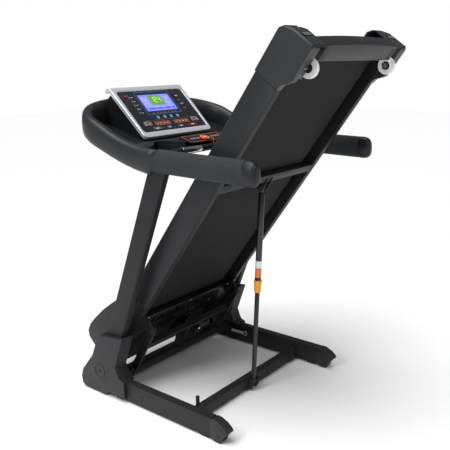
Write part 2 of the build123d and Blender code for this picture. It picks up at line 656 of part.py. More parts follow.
def make_foot_rails():
    top = DECK_H
    s0, s1 = HOOD_END + 0.5, CAP_START - 0.5
    section = [(FOOT_IN, top - 6), (FOOT_IN, ROLLER_N + ROLLER_R + BELT_T + 1.4), (FOOT_IN + 3, 81),
               (FOOT_IN + 3, top - 6), (BOARD_HALF - 12, top - 6), (BOARD_HALF - 12, 77.4),
               (BOARD_HALF - 4, 77.4), (BOARD_HALF - 4, top - 6), (RAIL_OUT - 10, top - 6),
               (RAIL_OUT - 10, RAIL_H + 0.1), (RAIL_OUT + 0.1, RAIL_H + 0.1), (RAIL_OUT + 0.1, 0.5),
               (DECK_HALF, 0.5), (DECK_HALF, top - 8), (DECK_HALF - 8, top), (FOOT_IN + 4, top)]
    outline = Polyline(*[(x, 0, n) for x, n in section], close=True)
    rail = extrude(make_face(outline), s1 - s0, dir=(0, -1, 0))
    keep_pair("foot_rails", folded(Pos(0, -s0, 0) * rail))


def make_hood():
    def block(inset, x_half):
        crown = [(s, n - inset * 1.02) for s, n in HOOD_LINE]
        crown[0] = (DECK_FRONT + inset, HOOD_LINE[0][1])
        crown[1] = (DECK_FRONT + 6 + inset * 0.8, HOOD_LINE[1][1] - inset * 0.6)
        crown[-1] = (HOOD_END + (6 if inset else 0), crown[-1][1] - inset * 0.3)
        points = crown + [(crown[-1][0], RAIL_H + 0.2 - (1 if inset else 0)),
                          (RAIL_FRONT - 0.3, RAIL_H + 0.2 - (1 if inset else 0)),
                          (RAIL_FRONT - 0.3, -(1 if inset else 0)),
                          (DECK_FRONT + inset, -(1 if inset else 0))]
        return flat_side(points, -x_half, x_half)

    outer = block(0, DECK_HALF)
    hood = fillet(outer.faces().filter_by(Axis.X).edges().filter_by(
        lambda edge: edge.center().Z > 100), 8)
    hood -= block(HOOD_T, DECK_HALF - HOOD_T)
    keep("motor_hood", folded(hood))


def make_pan():
    inner = RAIL_OUT - RAIL_W - SEAT_GAP
    pan = flat_box(-inner, inner, DECK_FRONT + HOOD_T + 1, PAN_END, 0, PAN_T)
    pan += flat_box(-inner, inner, PAN_END - 3, PAN_END, PAN_T, 18)
    slots = []
    for s, count in ((212, 10), (150, 9)):
        for i in range(count):
            x = -210 + i * 44 + (0 if count == 10 else 22)
            slot = Pos(x, -s, 0) * Rot(0, 0, 28) * Box(7, 42, 20)
            hood = Pos(x + 6, -s, -1.5) * Rot(0, 0, 28) * Box(4, 42, 3)
            slots.append((slot, hood))
    for slot, hood in slots:
        pan -= slot
    for slot, hood in slots:
        pan += hood
    pan -= flat_box(EAR_LEFT - 10, EAR_RIGHT + 10, 30, 125, -5, 6)
    keep("belly_pan", folded(pan))
    screws = []
    for x, s in ((-246, 252), (0, 252), (246, 252), (-222, 178), (164, 178)):
        screws.append(folded(Pos(x, -s, -1.2) * Cylinder(5, 2.4)))
    keep("pan_screws", *screws)


def cap_outline(rise=0.0):
    low = -CAP_DROP
    return [(CAP_START, DECK_H + 1), (DECK_END - 26, DECK_H + 1), (DECK_END - 10, DECK_H - 12),
            (DECK_END, DECK_H - 44), (DECK_END, low + 6), (DECK_END - 8, low),
            (CAP_START + 52, low), (CAP_START + 40, low + 8), (CAP_START + 22, low + 24),
            (CAP_START, -1)]


def make_rear_caps():
    wall_in = RAIL_OUT - RAIL_W - SEAT_GAP - 8
    cap = flat_side(cap_outline(), FOOT_IN, DECK_HALF + 2)
    edges = cap.faces().sort_by(Axis.X)[-1].edges()
    cap = fillet(edges.filter_by(lambda edge: edge.center().Z > 40 or edge.center().Y < -DECK_END + 6), 6)
    g = SEAT_GAP
    cap -= flat_box(RAIL_OUT - RAIL_W - g, RAIL_OUT + g, CAP_START - 9, DECK_END - 20 + g, -g, RAIL_H + g)
    cap -= flat_box(FOOT_IN - 1, RAIL_OUT - RAIL_W + 5, CAP_START - 9, DECK_END - 6, -CAP_DROP - 9, 84)
    cap -= flat_box(FOOT_IN - 1, DECK_HALF - 3, CAP_START - 9, DECK_END - 20, RAIL_H + g, DECK_H - 5)
    cap += flat_box(wall_in - 4, RAIL_OUT - RAIL_W + 8, CAP_START + 60, DECK_END - 8, -CAP_DROP, -g)
    hole = flat_rod(PIN_R, wall_in - 6, wall_in + 16, DECK_WHEEL_S, DECK_WHEEL_N)
    keep_pair("rear_caps", folded(cap - hole))
    x0 = DECK_WHEEL_X - DECK_WHEEL_W / 2
    inner_end = x0 - 5
    pin = flat_rod(PIN_R, inner_end, wall_in + 14, DECK_WHEEL_S, DECK_WHEEL_N)
    head = flat_rod(9, inner_end - 4, inner_end, DECK_WHEEL_S, DECK_WHEEL_N)
    keep_pair("deck_shafts", folded(pin + head))
    wheel = flat_ring(DECK_WHEEL_R, PIN_R + RUN_FIT, x0, x0 + DECK_WHEEL_W - 6, DECK_WHEEL_S, DECK_WHEEL_N)
    keep("deck_wheel_right", folded(wheel))
    keep("deck_wheel_left", mirrored(folded(wheel)))


def make_rear_bridge():
    low = -CAP_DROP + 2
    half = FOOT_IN - 0.5
    bow = 6.0
    s0 = REAR_ROLLER_S + 4
    plan = make_face(Polyline((-half, -s0, 0), (half, -s0, 0), (half, -DECK_END, 0), close=False)
                     + ThreePointArc((half, -DECK_END, 0), (0, -DECK_END - bow, 0), (-half, -DECK_END, 0))
                     + Line((-half, -DECK_END, 0), (-half, -s0, 0)))
    block = Pos(0, 0, low) * extrude(plan, 46)
    inner = flat_box(-half - 1, half + 1, s0 - 1, DECK_END - 4, low + 3, low + 70)
    keep("rear_bridge", folded(block - inner))


# ---- lift frame ---------------------------------------------------------------------------------------
def make_lift_frame():
    length = hypot(LIFT_S, LIFT_N + FOLD_DROP)
    angle = degrees(atan2(LIFT_N + FOLD_DROP, LIFT_S))
    start = (0, -FOLD_DROP)

    def along(distance):
        return (start[0] + distance * cos(radians(angle)), start[1] + distance * sin(radians(angle)))

    tube = flat_ring(LIFT_TUBE_R, LIFT_TUBE_R - 3, -LIFT_HALF, LIFT_HALF, *start)
    ends = flat_ring(LIFT_TUBE_R, 8 + RUN_FIT, LIFT_HALF - 10, LIFT_HALF, *start)
    bars = []
    for side in (-1, 1):
        x0 = LIFT_HALF - LIFT_BAR
        bar = Pos(side * (x0 + LIFT_BAR / 2), 0, -FOLD_DROP) * Rot(-angle, 0, 0) * (
            Pos(0, -length / 2, 0) * Box(LIFT_BAR, length, LIFT_BAR_D))
        bar += flat_rod(LIFT_BAR_D / 2, side * x0, side * (x0 + LIFT_BAR), LIFT_S, LIFT_N)
        bar -= flat_rod(7 + RUN_FIT, side * (x0 - 2), side * (x0 + LIFT_BAR + 2), LIFT_S, LIFT_N)
        bars.append(bar)
    upper_s, upper_n = along(length * 0.63)
    upper = flat_box(-LIFT_HALF + LIFT_BAR, LIFT_HALF - LIFT_BAR, upper_s - 11, upper_s + 11,
                     upper_n - 11, upper_n + 11)
    core = flat_rod(LIFT_TUBE_R - 3, -LIFT_HALF - 1, LIFT_HALF + 1, *start)
    frame = tube + ends + mirrored(ends) + upper
    for bar in bars:
        frame += bar - core
    for x in (EAR_LEFT, EAR_RIGHT):
        ear = flat_side([(0, -FOLD_DROP - 14), (upper_s, upper_n - 10), (upper_s, upper_n + 8),
                         (SCREW_S + 14, SCREW_N + 10), (SCREW_S - 12, SCREW_N + 10), (0, -FOLD_DROP + 15)],
                        x - EAR_T / 2, x + EAR_T / 2)
        frame += ear - core
        toward = 1 if x < SCREW_X else -1
        face = x + toward * EAR_T / 2
        frame += flat_rod(PIN_R + 1, face, SCREW_X - toward * 13.5, SCREW_S, SCREW_N)
    keep("lift_frame", folded(frame))


def make_pivot_brackets():
    x0 = LIFT_HALF + 3
    boss = x_rod(22, x0, x0 + 10, FOLD_Y, FOLD_Z) + box(x0 + 10, BASE_IN, FOLD_Y - 16, FOLD_Y + 16,
                                                        BASE_TOP - 34, BASE_TOP - 2)
    boss += side_shape([(FOLD_Y - 16, BASE_TOP - 34), (FOLD_Y - 16, BASE_TOP - 2),
                        (FOLD_Y - 44, BASE_TOP - 12),
                        (FOLD_Y - 44, BASE_TOP - 26)], BASE_IN - 4, BASE_IN)
    boss -= x_rod(8, x0 - 1, x0 + 30, FOLD_Y, FOLD_Z)
    keep_pair("base_brackets", boss)
    keep_pair("base_brackets", x_rod(8, LIFT_HALF + 1, x0 + 30, FOLD_Y, FOLD_Z))


def make_lift_motor():
    ds = SCREW_S - LIFT_MOTOR_S
    dn = SCREW_N - LIFT_MOTOR_N
    length = hypot(ds, dn)
    angle = degrees(atan2(dn, ds))

    def aimed(shape):
        """Draw along +X from the motor's pivot to the screw's eye, then aim it."""
        return folded(Pos(SCREW_X, -LIFT_MOTOR_S, LIFT_MOTOR_N) * Rot(0, 0, -90) * Rot(0, -angle, 0) * shape)

    body = Pos(52, 0, 0) * Box(46, 52, 50)
    body += Pos(20, 0, 0) * Box(40, 14, 24)
    body += Pos(52, 44, 0) * Rot(90, 0, 0) * Cylinder(21, 60)
    body += Rot(90, 0, 0) * Cylinder(12, 14)
    body -= Rot(90, 0, 0) * Cylinder(PIN_R + RUN_FIT, 60)
    reach = length - 15
    body += Pos((70 + reach) / 2, 0, 0) * Rot(0, 90, 0) * Cylinder(LEAD_R, reach - 70)
    keep("lift_motor", aimed(body))
    tube = Pos((80 + length) / 2, 0, 0) * Rot(0, 90, 0) * Cylinder(PUSH_R, length - 80)
    tube += Pos(length, 0, 0) * Rot(90, 0, 0) * Cylinder(13, 22)
    tube -= Pos((70 + reach + 3) / 2, 0, 0) * Rot(0, 90, 0) * Cylinder(LEAD_R + RUN_FIT, reach + 3 - 70)
    tube -= Pos(length, 0, 0) * Rot(90, 0, 0) * Cylinder(PIN_R + 1 + RUN_FIT, 60)
    keep("lift_push_tube", aimed(tube))
    pin = flat_rod(PIN_R, SCREW_X - 24, SCREW_X + 24, LIFT_MOTOR_S, LIFT_MOTOR_N)
    ears = []
    for side in (-1, 1):
        x = SCREW_X + side * 20
        ear = flat_side([(RAIL_FRONT + 6, 12), (RAIL_FRONT + 6, LIFT_MOTOR_N + 8),
                         (LIFT_MOTOR_S + 8, LIFT_MOTOR_N + 12),
                         (LIFT_MOTOR_S + 12, LIFT_MOTOR_N - 8),
                         (RAIL_FRONT + 14, 100), (RAIL_FRONT + 14, 12)],
                        x - 2, x + 2)
        ears.append(ear)
    foot = flat_box(SCREW_X - 50, SCREW_X + 50, RAIL_FRONT + 2, RAIL_FRONT + 28, PAN_T + SEAT_GAP + 5, 14)
    keep("deck_brackets", folded(pin + ears[0] + ears[1] + foot))


# ---- drive ----------------------------------------------------------------------------------------------
def make_drive():
    x0, x1 = MOTOR_X - MOTOR_L / 2, MOTOR_X + MOTOR_L / 2
    can = flat_rod(MOTOR_R, x0, x1, MOTOR_S, MOTOR_N)
    can -= flat_rod(8 + RUN_FIT, x0 - 1, x0 + 60, MOTOR_S, MOTOR_N)
    foot = flat_box(x0 + 20, x1 - 20, MOTOR_S - 34, MOTOR_S + 34,
                    PAN_T + SEAT_GAP + 9, MOTOR_N - MOTOR_R + 12)
    keep("drive_motor", folded(can + foot))
    rotor = flat_rod(8, PULLEY_X - PULLEY_W / 2 - 3, x0 + 58, MOTOR_S, MOTOR_N)
    rotor += flat_rod(DRIVE_PULLEY_R, PULLEY_X - PULLEY_W / 2, PULLEY_X + PULLEY_W / 2, MOTOR_S, MOTOR_N)
    rotor += flat_rod(40, PULLEY_X + PULLEY_W / 2 + 8, x0 - 12, MOTOR_S, MOTOR_N)
    keep("motor_pulley", folded(rotor))

    apart = hypot(FRONT_ROLLER_S - MOTOR_S, ROLLER_N - MOTOR_N)
    turn = degrees(atan2(ROLLER_N - MOTOR_N, FRONT_ROLLER_S - MOTOR_S))

    def loop(extra, half):
        r0, r1 = DRIVE_PULLEY_R + extra, ROLLER_PULLEY_R + extra
        a = (r1 - r0) / apart
        c = (1 - a * a) ** 0.5
        points = [(-a * r0, c * r0), (apart - a * r1, c * r1), (apart - a * r1, -c * r1), (-a * r0, -c * r0)]
        web = extrude(make_face(Polyline(*points, close=True)), 2 * half)
        rims = extrude(Circle(r0), 2 * half) + Pos(apart, 0, 0) * extrude(Circle(r1), 2 * half)
        return Pos(0, 0, -half) * (web + rims)

    belt = loop(RUN_FIT + DRIVE_BELT_T, PULLEY_W / 2 - 1) - loop(RUN_FIT, PULLEY_W)
    placed = Pos(PULLEY_X, -MOTOR_S, MOTOR_N) * Rot(-turn, 0, 0) * Rot(0, 0, -90) * Rot(90, 0, 0) * belt
    keep("drive_belt", folded(placed))
    board = flat_box(120, 258, 60, 190, PAN_T + 6, PAN_T + 12)
    fins = [flat_box(130 + 12 * i, 134 + 12 * i, 70, 180, PAN_T + 12, PAN_T + 46) for i in range(10)]
    keep("motor_controller", folded(board + sum_of(fins) + flat_box(120, 258, 170, 186, PAN_T, PAN_T + 6)
                                    + flat_box(120, 258, 62, 78, PAN_T, PAN_T + 6)))


def sum_of(shapes):
    total = shapes[0]
    for shape in shapes[1:]:
        total += shape
    return total


# ---- gas strut -----------------------------------------------------------------------------
def make_strut():
    top_y, top_z = folded_point(STRUT_TOP_S, STRUT_TOP_N)
    length = hypot(top_y - STRUT_FOOT_Y, top_z - STRUT_FOOT_Z)
    tilt = degrees(atan2(-(top_y - STRUT_FOOT_Y), top_z - STRUT_FOOT_Z))

    def stood(shape):
        return Pos(0, STRUT_FOOT_Y, STRUT_FOOT_Z) * Rot(tilt, 0, 0) * shape

    split = length * STRUT_SPLIT
    grip = 14.0
    bore = STRUT_IN_R + FREE_GAP
    eye = x_ring(STRUT_EYE_R, STRUT_PIN_R, -STRUT_EYE_HALF, STRUT_EYE_HALF, 0, 0)
    rod = Pos(0, 0, (8 + split + grip) / 2) * Cylinder(STRUT_IN_R, split + grip - 8)
    keep("strut_lower", stood(eye + rod - x_rod(STRUT_PIN_R, -20, 20, 0, 0)))
    upper_end = length - 24
    depth = STRUT_STROKE + grip + 2
    barrel = Pos(0, 0, (split + upper_end) / 2) * Cylinder(STRUT_OUT_R, upper_end - split)
    barrel -= Pos(0, 0, split + depth / 2 - 1) * Cylinder(bore, depth + 2)
    barrel += Pos(0, 0, length - 17) * Cylinder(7, 16)
    barrel += Pos(0, 0, length) * x_ring(STRUT_EYE_R, STRUT_PIN_R, -STRUT_EYE_HALF, STRUT_EYE_HALF, 0, 0)
    keep("strut_upper", stood(barrel - Pos(0, 0, length) * x_rod(STRUT_PIN_R, -20, 20, 0, 0)))
    sleeve = Pos(0, 0, split - SEAT_GAP - 10) * Cylinder(15, 20) + Pos(0, 0, split - 34) * Cylinder(13, 30)
    sleeve -= Pos(0, 0, split - 30) * Cylinder(bore, 90)
    keep("lock_sleeve", stood(sleeve))

    back = REAR_CROSS_Y - CROSS_D / 2
    lugs = []
    for side in (-1, 1):
        outline = [(back, TUBE_Z + 2), (back, TUBE_Z + CROSS_H), (STRUT_FOOT_Y - 6, STRUT_FOOT_Z + 15),
                   (STRUT_FOOT_Y - 15, STRUT_FOOT_Z + 4), (STRUT_FOOT_Y - 13, STRUT_FOOT_Z - 14),
                   (STRUT_FOOT_Y - 2, TUBE_Z + 2)]
        x = side * (LUG_IN + LUG_T / 2)
        lugs.append(side_shape(outline, x - LUG_T / 2, x + LUG_T / 2))
    plate = box(-30, 30, back - 4, back, TUBE_Z, TUBE_Z + CROSS_H)
    pin = x_rod(STRUT_PIN_R - RUN_FIT, -LUG_IN - LUG_T - 1, LUG_IN + LUG_T + 1, STRUT_FOOT_Y, STRUT_FOOT_Z)
    heads = x_rod(11, LUG_IN + LUG_T, LUG_IN + LUG_T + 6, STRUT_FOOT_Y, STRUT_FOOT_Z)
    keep("base_brackets", lugs[0] + lugs[1] + plate + pin + heads + mirrored(heads))

    for side in (-1, 1):
        x = side * (LUG_IN + LUG_T / 2)
        near = MID_CROSS_S - MID_CROSS_D / 2
        ear = flat_side([(near + 20, 0), (near + 20, -3), (STRUT_TOP_S + 6, STRUT_TOP_N - 17),
                         (STRUT_TOP_S - 8, STRUT_TOP_N - 16), (STRUT_TOP_S - 15, STRUT_TOP_N),
                         (STRUT_TOP_S - 9, STRUT_TOP_N + 11), (near, MID_CROSS_H - 1), (near, 0)],
                        x - LUG_T / 2, x + LUG_T / 2)
        head = flat_rod(8, side * (LUG_IN + LUG_T), side * (LUG_IN + LUG_T + 6), STRUT_TOP_S, STRUT_TOP_N)
        stub = flat_rod(6, side * (STRUT_EYE_HALF + 1), side * (LUG_IN + 1), STRUT_TOP_S, STRUT_TOP_N)
        keep("deck_brackets", folded(ear + head + stub))


def make_trim():
    lead = Pos(BASE_IN - 7, 236, 50) * Rot(90, 0, 0) * Cylinder(6.5, 62)
    loop = Pos(BASE_IN - 5, 193, 50) * Rot(0, 90, 0) * Torus(9, 2)
    keep("earth_lead", lead, loop)


def build():
    make_base()
    make_foot_caps()
    make_posts()
    make_covers()
    make_handles()
    make_shell()
    make_pod()
    make_face_panel()
    make_shelf()
    make_pulse_bar()
    make_deck_frame()
    make_running_gear()
    make_foot_rails()
    make_hood()
    make_pan()
    make_rear_caps()
    make_rear_bridge()
    make_lift_frame()
    make_pivot_brackets()
    make_lift_motor()
    make_drive()
    make_strut()
    make_trim()
    for name, solids in nodes.items():
        export_step(Compound(solids), "parts/" + name + ".step")
    whole = Compound([solid for solids in nodes.values() for solid in solids]).bounding_box()
    print(len(nodes), "nodes", whole.min, whole.max)


build()
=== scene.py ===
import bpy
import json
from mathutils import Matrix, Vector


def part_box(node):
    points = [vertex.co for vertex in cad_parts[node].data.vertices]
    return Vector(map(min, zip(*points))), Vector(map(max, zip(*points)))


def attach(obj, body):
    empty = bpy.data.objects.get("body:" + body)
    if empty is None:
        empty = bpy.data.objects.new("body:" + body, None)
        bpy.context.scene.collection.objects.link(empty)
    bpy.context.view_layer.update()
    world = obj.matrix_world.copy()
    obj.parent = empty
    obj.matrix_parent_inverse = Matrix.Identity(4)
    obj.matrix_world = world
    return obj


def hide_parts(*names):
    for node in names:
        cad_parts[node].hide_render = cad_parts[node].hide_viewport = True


bl_info = {
    "name": "Folding treadmill",
    "version": (1, 0, 0),
    "blender": (4, 5, 0),
    "location": "View3D > Sidebar > Treadmill",
    "description": "Finishes and mouldings for a folding motor treadmill",
    "category": "Add Mesh",
}

import json
from math import atan2, cos, hypot, pi, radians, sin

import bmesh
import bpy
from mathutils import Matrix, Vector

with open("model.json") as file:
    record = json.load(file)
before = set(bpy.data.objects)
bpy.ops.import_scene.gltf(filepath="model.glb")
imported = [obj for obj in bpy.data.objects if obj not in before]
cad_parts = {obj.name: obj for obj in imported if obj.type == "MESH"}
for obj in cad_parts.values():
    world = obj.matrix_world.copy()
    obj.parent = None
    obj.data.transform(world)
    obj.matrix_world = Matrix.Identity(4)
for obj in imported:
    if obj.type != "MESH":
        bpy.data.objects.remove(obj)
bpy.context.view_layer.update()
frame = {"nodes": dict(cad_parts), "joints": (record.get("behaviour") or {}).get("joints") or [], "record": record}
NODES = frame["nodes"]

# ---- sizes shared with the frame, metres -----------------
FOLD_PIVOT = Vector((0, 0.315, 0.066))
FOLD_DROP = 0.070
FOLD_TILT = radians(54)
# handles, and the seam where the console surround meets their grips
ARM_X = 0.361
ARM_W = 0.045
GRIP_RISE = radians(1.3)
GRIP_REAR = -0.344
GRIP_Z = 0.946
GRIP_H = 0.080
SEAM_Y = 0.013
SEAM_SLANT = 0.034
SEAM_GAP = 0.0004
# the surround and its top, its lower edge and the tray inside it, as (y, height)
SHELL_CENTRE = 0.323
SHELL_DEPTH = 0.198
FRONT_WALL = 0.034
RIM = [(0.013, 0.992), (0.070, 0.994), (0.163, 1.012), (0.248, 1.043), (0.313, 1.074),
       (0.383, 1.099), (0.453, 1.121), (0.560, 1.148)]
HEM = [(0.013, 0.906), (0.070, 0.908), (0.143, 0.922), (0.218, 0.944), (0.305, 0.976),
       (0.372, 1.000), (0.450, 1.012), (0.560, 1.020)]
FLOOR = [(0.060, 0.984), (0.120, 0.990), (0.190, 0.993), (0.245, 0.988), (0.300, 0.997), (0.420, 1.030),
         (0.560, 1.062)]
# the tray's edge towards the user, right half, as (x, y)
TRAY_EDGE = [(0.346, 0.104), (0.318, 0.108), (0.285, 0.120), (0.258, 0.140), (0.235, 0.165), (0.214, 0.182),
             (0.188, 0.187), (0.168, 0.174), (0.154, 0.146), (0.142, 0.118), (0.131, 0.108), (0.120, 0.112),
             (0.115, 0.130), (0.112, 0.160)]
TRAY_WALL = 0.004
SKIRT = 0.060
# the console's sloping face, and how far its parts stand out from it
PANEL = Matrix.Translation((0, 0.246, 1.002)) @ Matrix.Rotation(radians(44.5), 4, "X")
FACE_OUT = -0.002
KEY_RISE = 0.0012
GLASS_OUT = -0.00218
INK = 0.00018
DECK_END = 1.503
# points closer than this are one, and edges sharper than this many degrees stay sharp
WELD_DIST = 1e-6
SHARP = 32
SHELF = Matrix.Translation((0, 0.090, 0.983)) @ Matrix.Rotation(atan2(0.020, 0.072), 4, "X")
CORD_ROUTE = [(0.0036, 0.110, 0.993), (0.010, 0.106, 0.993), (0.013, 0.098, 0.9905), (0.011, 0.090, 0.9874),
              (0.008, 0.0866, 0.981), (0.006, 0.086, 0.972), (0.004, 0.086, 0.962)]
BODY_OF = {node: body for body, nodes in frame["record"]["behaviour"]["bodies"].items() for node in nodes}


def joint(name):
    """The CAD joint of that name."""
    return next(j for j in frame["joints"] if j["name"] == name)


def on_deck(x, s, n):
    """A point X across, s along the deck from the fold axis and n above the rails' underside."""
    up = n + FOLD_DROP
    return Vector((x, FOLD_PIVOT.y - s * cos(FOLD_TILT) + up * sin(FOLD_TILT),
                   FOLD_PIVOT.z + s * sin(FOLD_TILT) + up * cos(FOLD_TILT)))


DECK = Matrix((
    (1, 0, 0, 0),
    (0, -cos(FOLD_TILT), sin(FOLD_TILT), on_deck(0, 0, 0).y),
    (0, sin(FOLD_TILT), cos(FOLD_TILT), on_deck(0, 0, 0).z),
    (0, 0, 0, 1),
))


def curve_at(table, y):
    """Height of a smooth line through a table of (y, height) pairs."""
    y = min(max(y, table[0][0]), table[-1][0])
    i = max(k for k in range(len(table) - 1) if table[k][0] <= y)

    def slope(k):
        a, b = table[max(k - 1, 0)], table[min(k + 1, len(table) - 1)]
        return (b[1] - a[1]) / (b[0] - a[0])

    (y0, z0), (y1, z1) = table[i], table[i + 1]
    run = y1 - y0
    t = (y - y0) / run
    return (z0 * (1 + 2 * t) * (1 - t) ** 2 + slope(i) * run * t * (1 - t) ** 2
            + z1 * t * t * (3 - 2 * t) + slope(i + 1) * run * t * t * (t - 1))


# ---- camera and lights -----------------------------------
CAMERA_PLACE = (-1.862, -1.476, 1.264)
CAMERA_YAW = radians(39.2)
CAMERA_PITCH = radians(-14.46)
CAMERA_ROLL = -0.018306
CAMERA_SHIFT = (0.0044, 0.0079)
SUN_WAY = (0.30, -0.10, -1)
SUN_SPREAD = radians(55)
# name, place, target, width, power for each unit of the overhead light
SIDE_LIGHTS = [
    ("left_light", (-3.2, 0.4, 2.6), (0, 0.1, 0.9), 1.3, 13),
    ("rear_light", (-0.6, -3.4, 2.8), (0, -0.1, 0.8), 1.5, 9),
]
FLOOR_HALF = 14
FLOOR_TONES = ((0.83, 0.83, 0.83, 1), (0.86, 0.86, 0.86, 1))


# ---- shader building -------------------------------------
class Value:
    """One output of a shader node. Sums and products of values add Math nodes."""

    def __init__(self, tree, socket):
        self.tree = tree
        self.socket = socket

    def math(self, operation, first, second=None):
        node = self.tree.nodes.new("ShaderNodeMath")
        node.operation = operation
        for port, value in zip(node.inputs, (first, second)):
            if value is not None:
                feed(self.tree, port, value)
        return Value(self.tree, node.outputs[0])

    def __add__(self, other):
        return self.math("ADD", self, other)

    def __sub__(self, other):
        return self.math("SUBTRACT", self, other)

    def __mul__(self, other):
        return self.math("MULTIPLY", self, other)

    def __rsub__(self, other):
        return self.math("SUBTRACT", other, self)

    __radd__ = __add__
    __rmul__ = __mul__

    def sine(self):
        return self.math("SINE", self)

    def above(self, edge):
        return self.math("GREATER_THAN", self, edge)

    def clamped(self, low, high):
        return self.math("MINIMUM", self.math("MAXIMUM", self, low), high)


def feed(tree, port, value):
    """Links a value to a socket, or writes a plain number or colour on it."""
    if isinstance(value, Value):
        tree.links.new(value.socket, port)
    else:
        port.default_value = value


class Finish:
    """A material and its node tree."""

    def __init__(self, name, **fixed):
        self.material = bpy.data.materials.new(name)
        self.material.use_nodes = True
        self.tree = self.material.node_tree
        self.shader = self.tree.nodes["Principled BSDF"]
        self.place = self.node("ShaderNodeTexCoord", output="Object")
        for port, value in fixed.items():
            self.shader.inputs[port.replace("_", " ")].default_value = value

    def node(self, kind, settings=None, values=None, output=0):
        """Any other node: its settings first, then its sockets' values or links."""
        node = self.tree.nodes.new(kind)
        for key, value in (settings or {}).items():
            setattr(node, key, value)
        for port, value in (values or {}).items():
            feed(self.tree, node.inputs[port], value)
        return Value(self.tree, node.outputs[output])

    def set(self, port, value):
        feed(self.tree, self.shader.inputs[port], value)
        return self

    def stretched(self, scale, turn=(0, 0, 0)):
        return self.node("ShaderNodeMapping", {}, {"Vector": self.place, "Scale": scale, "Rotation": turn})

    def noise(self, scale, detail=3.0, place=None, roughness=0.5):
        return self.node("ShaderNodeTexNoise", {}, {"Vector": place or self.place, "Scale": scale,
                                                    "Detail": detail, "Roughness": roughness})

    def cells(self, scale, feature="F1", place=None):
        return self.node("ShaderNodeTexVoronoi", {"feature": feature}, {"Vector": place or self.place,
                                                                        "Scale": scale})

    def axis(self, name, place=None):
        return self.node("ShaderNodeSeparateXYZ", {}, {"Vector": place or self.place}, output=name)

    def blend(self, factor, first, second):
        node = self.tree.nodes.new("ShaderNodeMix")
        node.data_type = "RGBA"
        ports = [p for p in node.inputs if p.type == "RGBA"]
        for port, value in ((node.inputs[0], factor), (ports[0], first), (ports[1], second)):
            feed(self.tree, port, value)
        return Value(self.tree, next(p for p in node.outputs if p.type == "RGBA"))

    def bump(self, height, distance, strength=1.0, under=None):
        values = {"Height": height, "Distance": distance, "Strength": strength}
        if under:
            values["Normal"] = under
        return self.node("ShaderNodeBump", {}, values)


def linear(colour):
    """(r, g, b) as seen on a screen, 0 to 255, turned into scene light."""
    out = []
    for value in colour:
        c = value / 255
        out.append(c / 12.92 if c <= 0.04045 else ((c + 0.055) / 1.055) ** 2.4)
    return (*out, 1.0)


def shade(colour, factor):
    """A colour made darker or lighter."""
    return (*(min(1.0, c * factor) for c in colour[:3]), 1.0)


DUST_TOP = 0.22
DUST_COLOUR = (0.060, 0.058, 0.055, 1)
GLOSS_SPREAD = 0.06


def aged(finish, colour, rough, spread, patch):
    """Cloudy variation of colour and gloss, with faint dust near the ground."""
    cloud = finish.noise(patch, 4.0)
    low = (DUST_TOP - finish.axis("Z")).clamped(0.0, DUST_TOP) * 0.5
    clean = finish.blend(cloud, shade(colour, 1 - spread), shade(colour, 1 + spread))
    finish.set("Base Color", finish.blend(low, clean, DUST_COLOUR))
    finish.set("Roughness", (cloud - 0.5) * (2 * GLOSS_SPREAD) + rough)


def powder_coat(name, colour, rough=0.55):
    """Black textured paint on steel: small even bumps over a slight orange peel."""
    f = Finish(name, Specular_IOR_Level=0.30)
    aged(f, colour, rough, 0.14, 9.0)
    peel = f.bump(f.noise(260, 2.0), 0.00012)
    return f.set("Normal", f.bump(f.cells(1500), 0.00007, under=peel)).material


def moulded(name, colour, rough=0.5, grain=1300, depth=0.00005, spread=0.07, gloss=0.32):
    """Injection moulded plastic with a fine spark-eroded grain."""
    f = Finish(name, Specular_IOR_Level=gloss)
    aged(f, colour, rough, spread, 4.0)
    leather = f.bump(f.cells(grain * 0.6, "SMOOTH_F1"), depth)
    return f.set("Normal", f.bump(f.noise(grain, 2.0), depth * 0.7, under=leather)).material


def satin_paint(name, colour, rough=0.35, metallic=0.0, flake=0.0):
    """Smooth paint; a metallic one has fine flakes that vary its gloss."""
    f = Finish(name, Metallic=metallic, Coat_Weight=0.25 if flake else 0.0, Coat_Roughness=0.12)
    speck = f.noise(2600, 1.0)
    base = f.blend(speck, shade(colour, 1 - flake), shade(colour, 1 + flake))
    f.set("Base Color", f.blend(f.noise(7, 3.0) * 0.3, base, shade(colour, 0.92)))
    f.set("Roughness", speck * 0.12 + (rough - 0.06))
    return f.set("Normal", f.bump(f.noise(140, 2.0), 0.00004)).material


def drawn_steel(name, colour, rough=0.3, along=(900, 40, 900)):
    """Bright steel with fine drawing lines along one direction."""
    f = Finish(name, Metallic=1.0)
    lines = f.noise(1.0, 3.0, f.stretched(along))
    f.set("Base Color", f.blend(lines, shade(colour, 0.80), shade(colour, 1.08)))
    f.set("Roughness", lines * 0.18 + (rough - 0.08))
    return f.set("Normal", f.bump(lines, 0.00002)).material


def foam(name, colour):
    """Closed-cell foam: fine pores, and light flecks where the skin has been rubbed."""
    f = Finish(name, Specular_IOR_Level=0.22, Sheen_Weight=0.05, Sheen_Roughness=0.5)
    pores = f.cells(950)
    fleck = f.noise(520, 2.0).above(0.60) * 0.6
    cloud = f.noise(14, 3.0)
    skin = f.blend(cloud, shade(colour, 0.85), shade(colour, 1.18))
    f.set("Base Color", f.blend(fleck, skin, shade(colour, 3.6)))
    f.set("Roughness", 0.62 + pores * 0.2)
    return f.set("Normal", f.bump(pores, 0.00018, 0.8, f.bump(cloud, 0.0004, 0.4))).material


def rubber(name, colour, rough=0.7):
    """Dull black or pale rubber, mottled and faintly rough."""
    f = Finish(name, Specular_IOR_Level=0.3)
    aged(f, colour, rough, 0.18, 18.0)
    return f.set("Normal", f.bump(f.noise(800, 3.0), 0.00008)).material


THREAD_PITCH = 0.0028


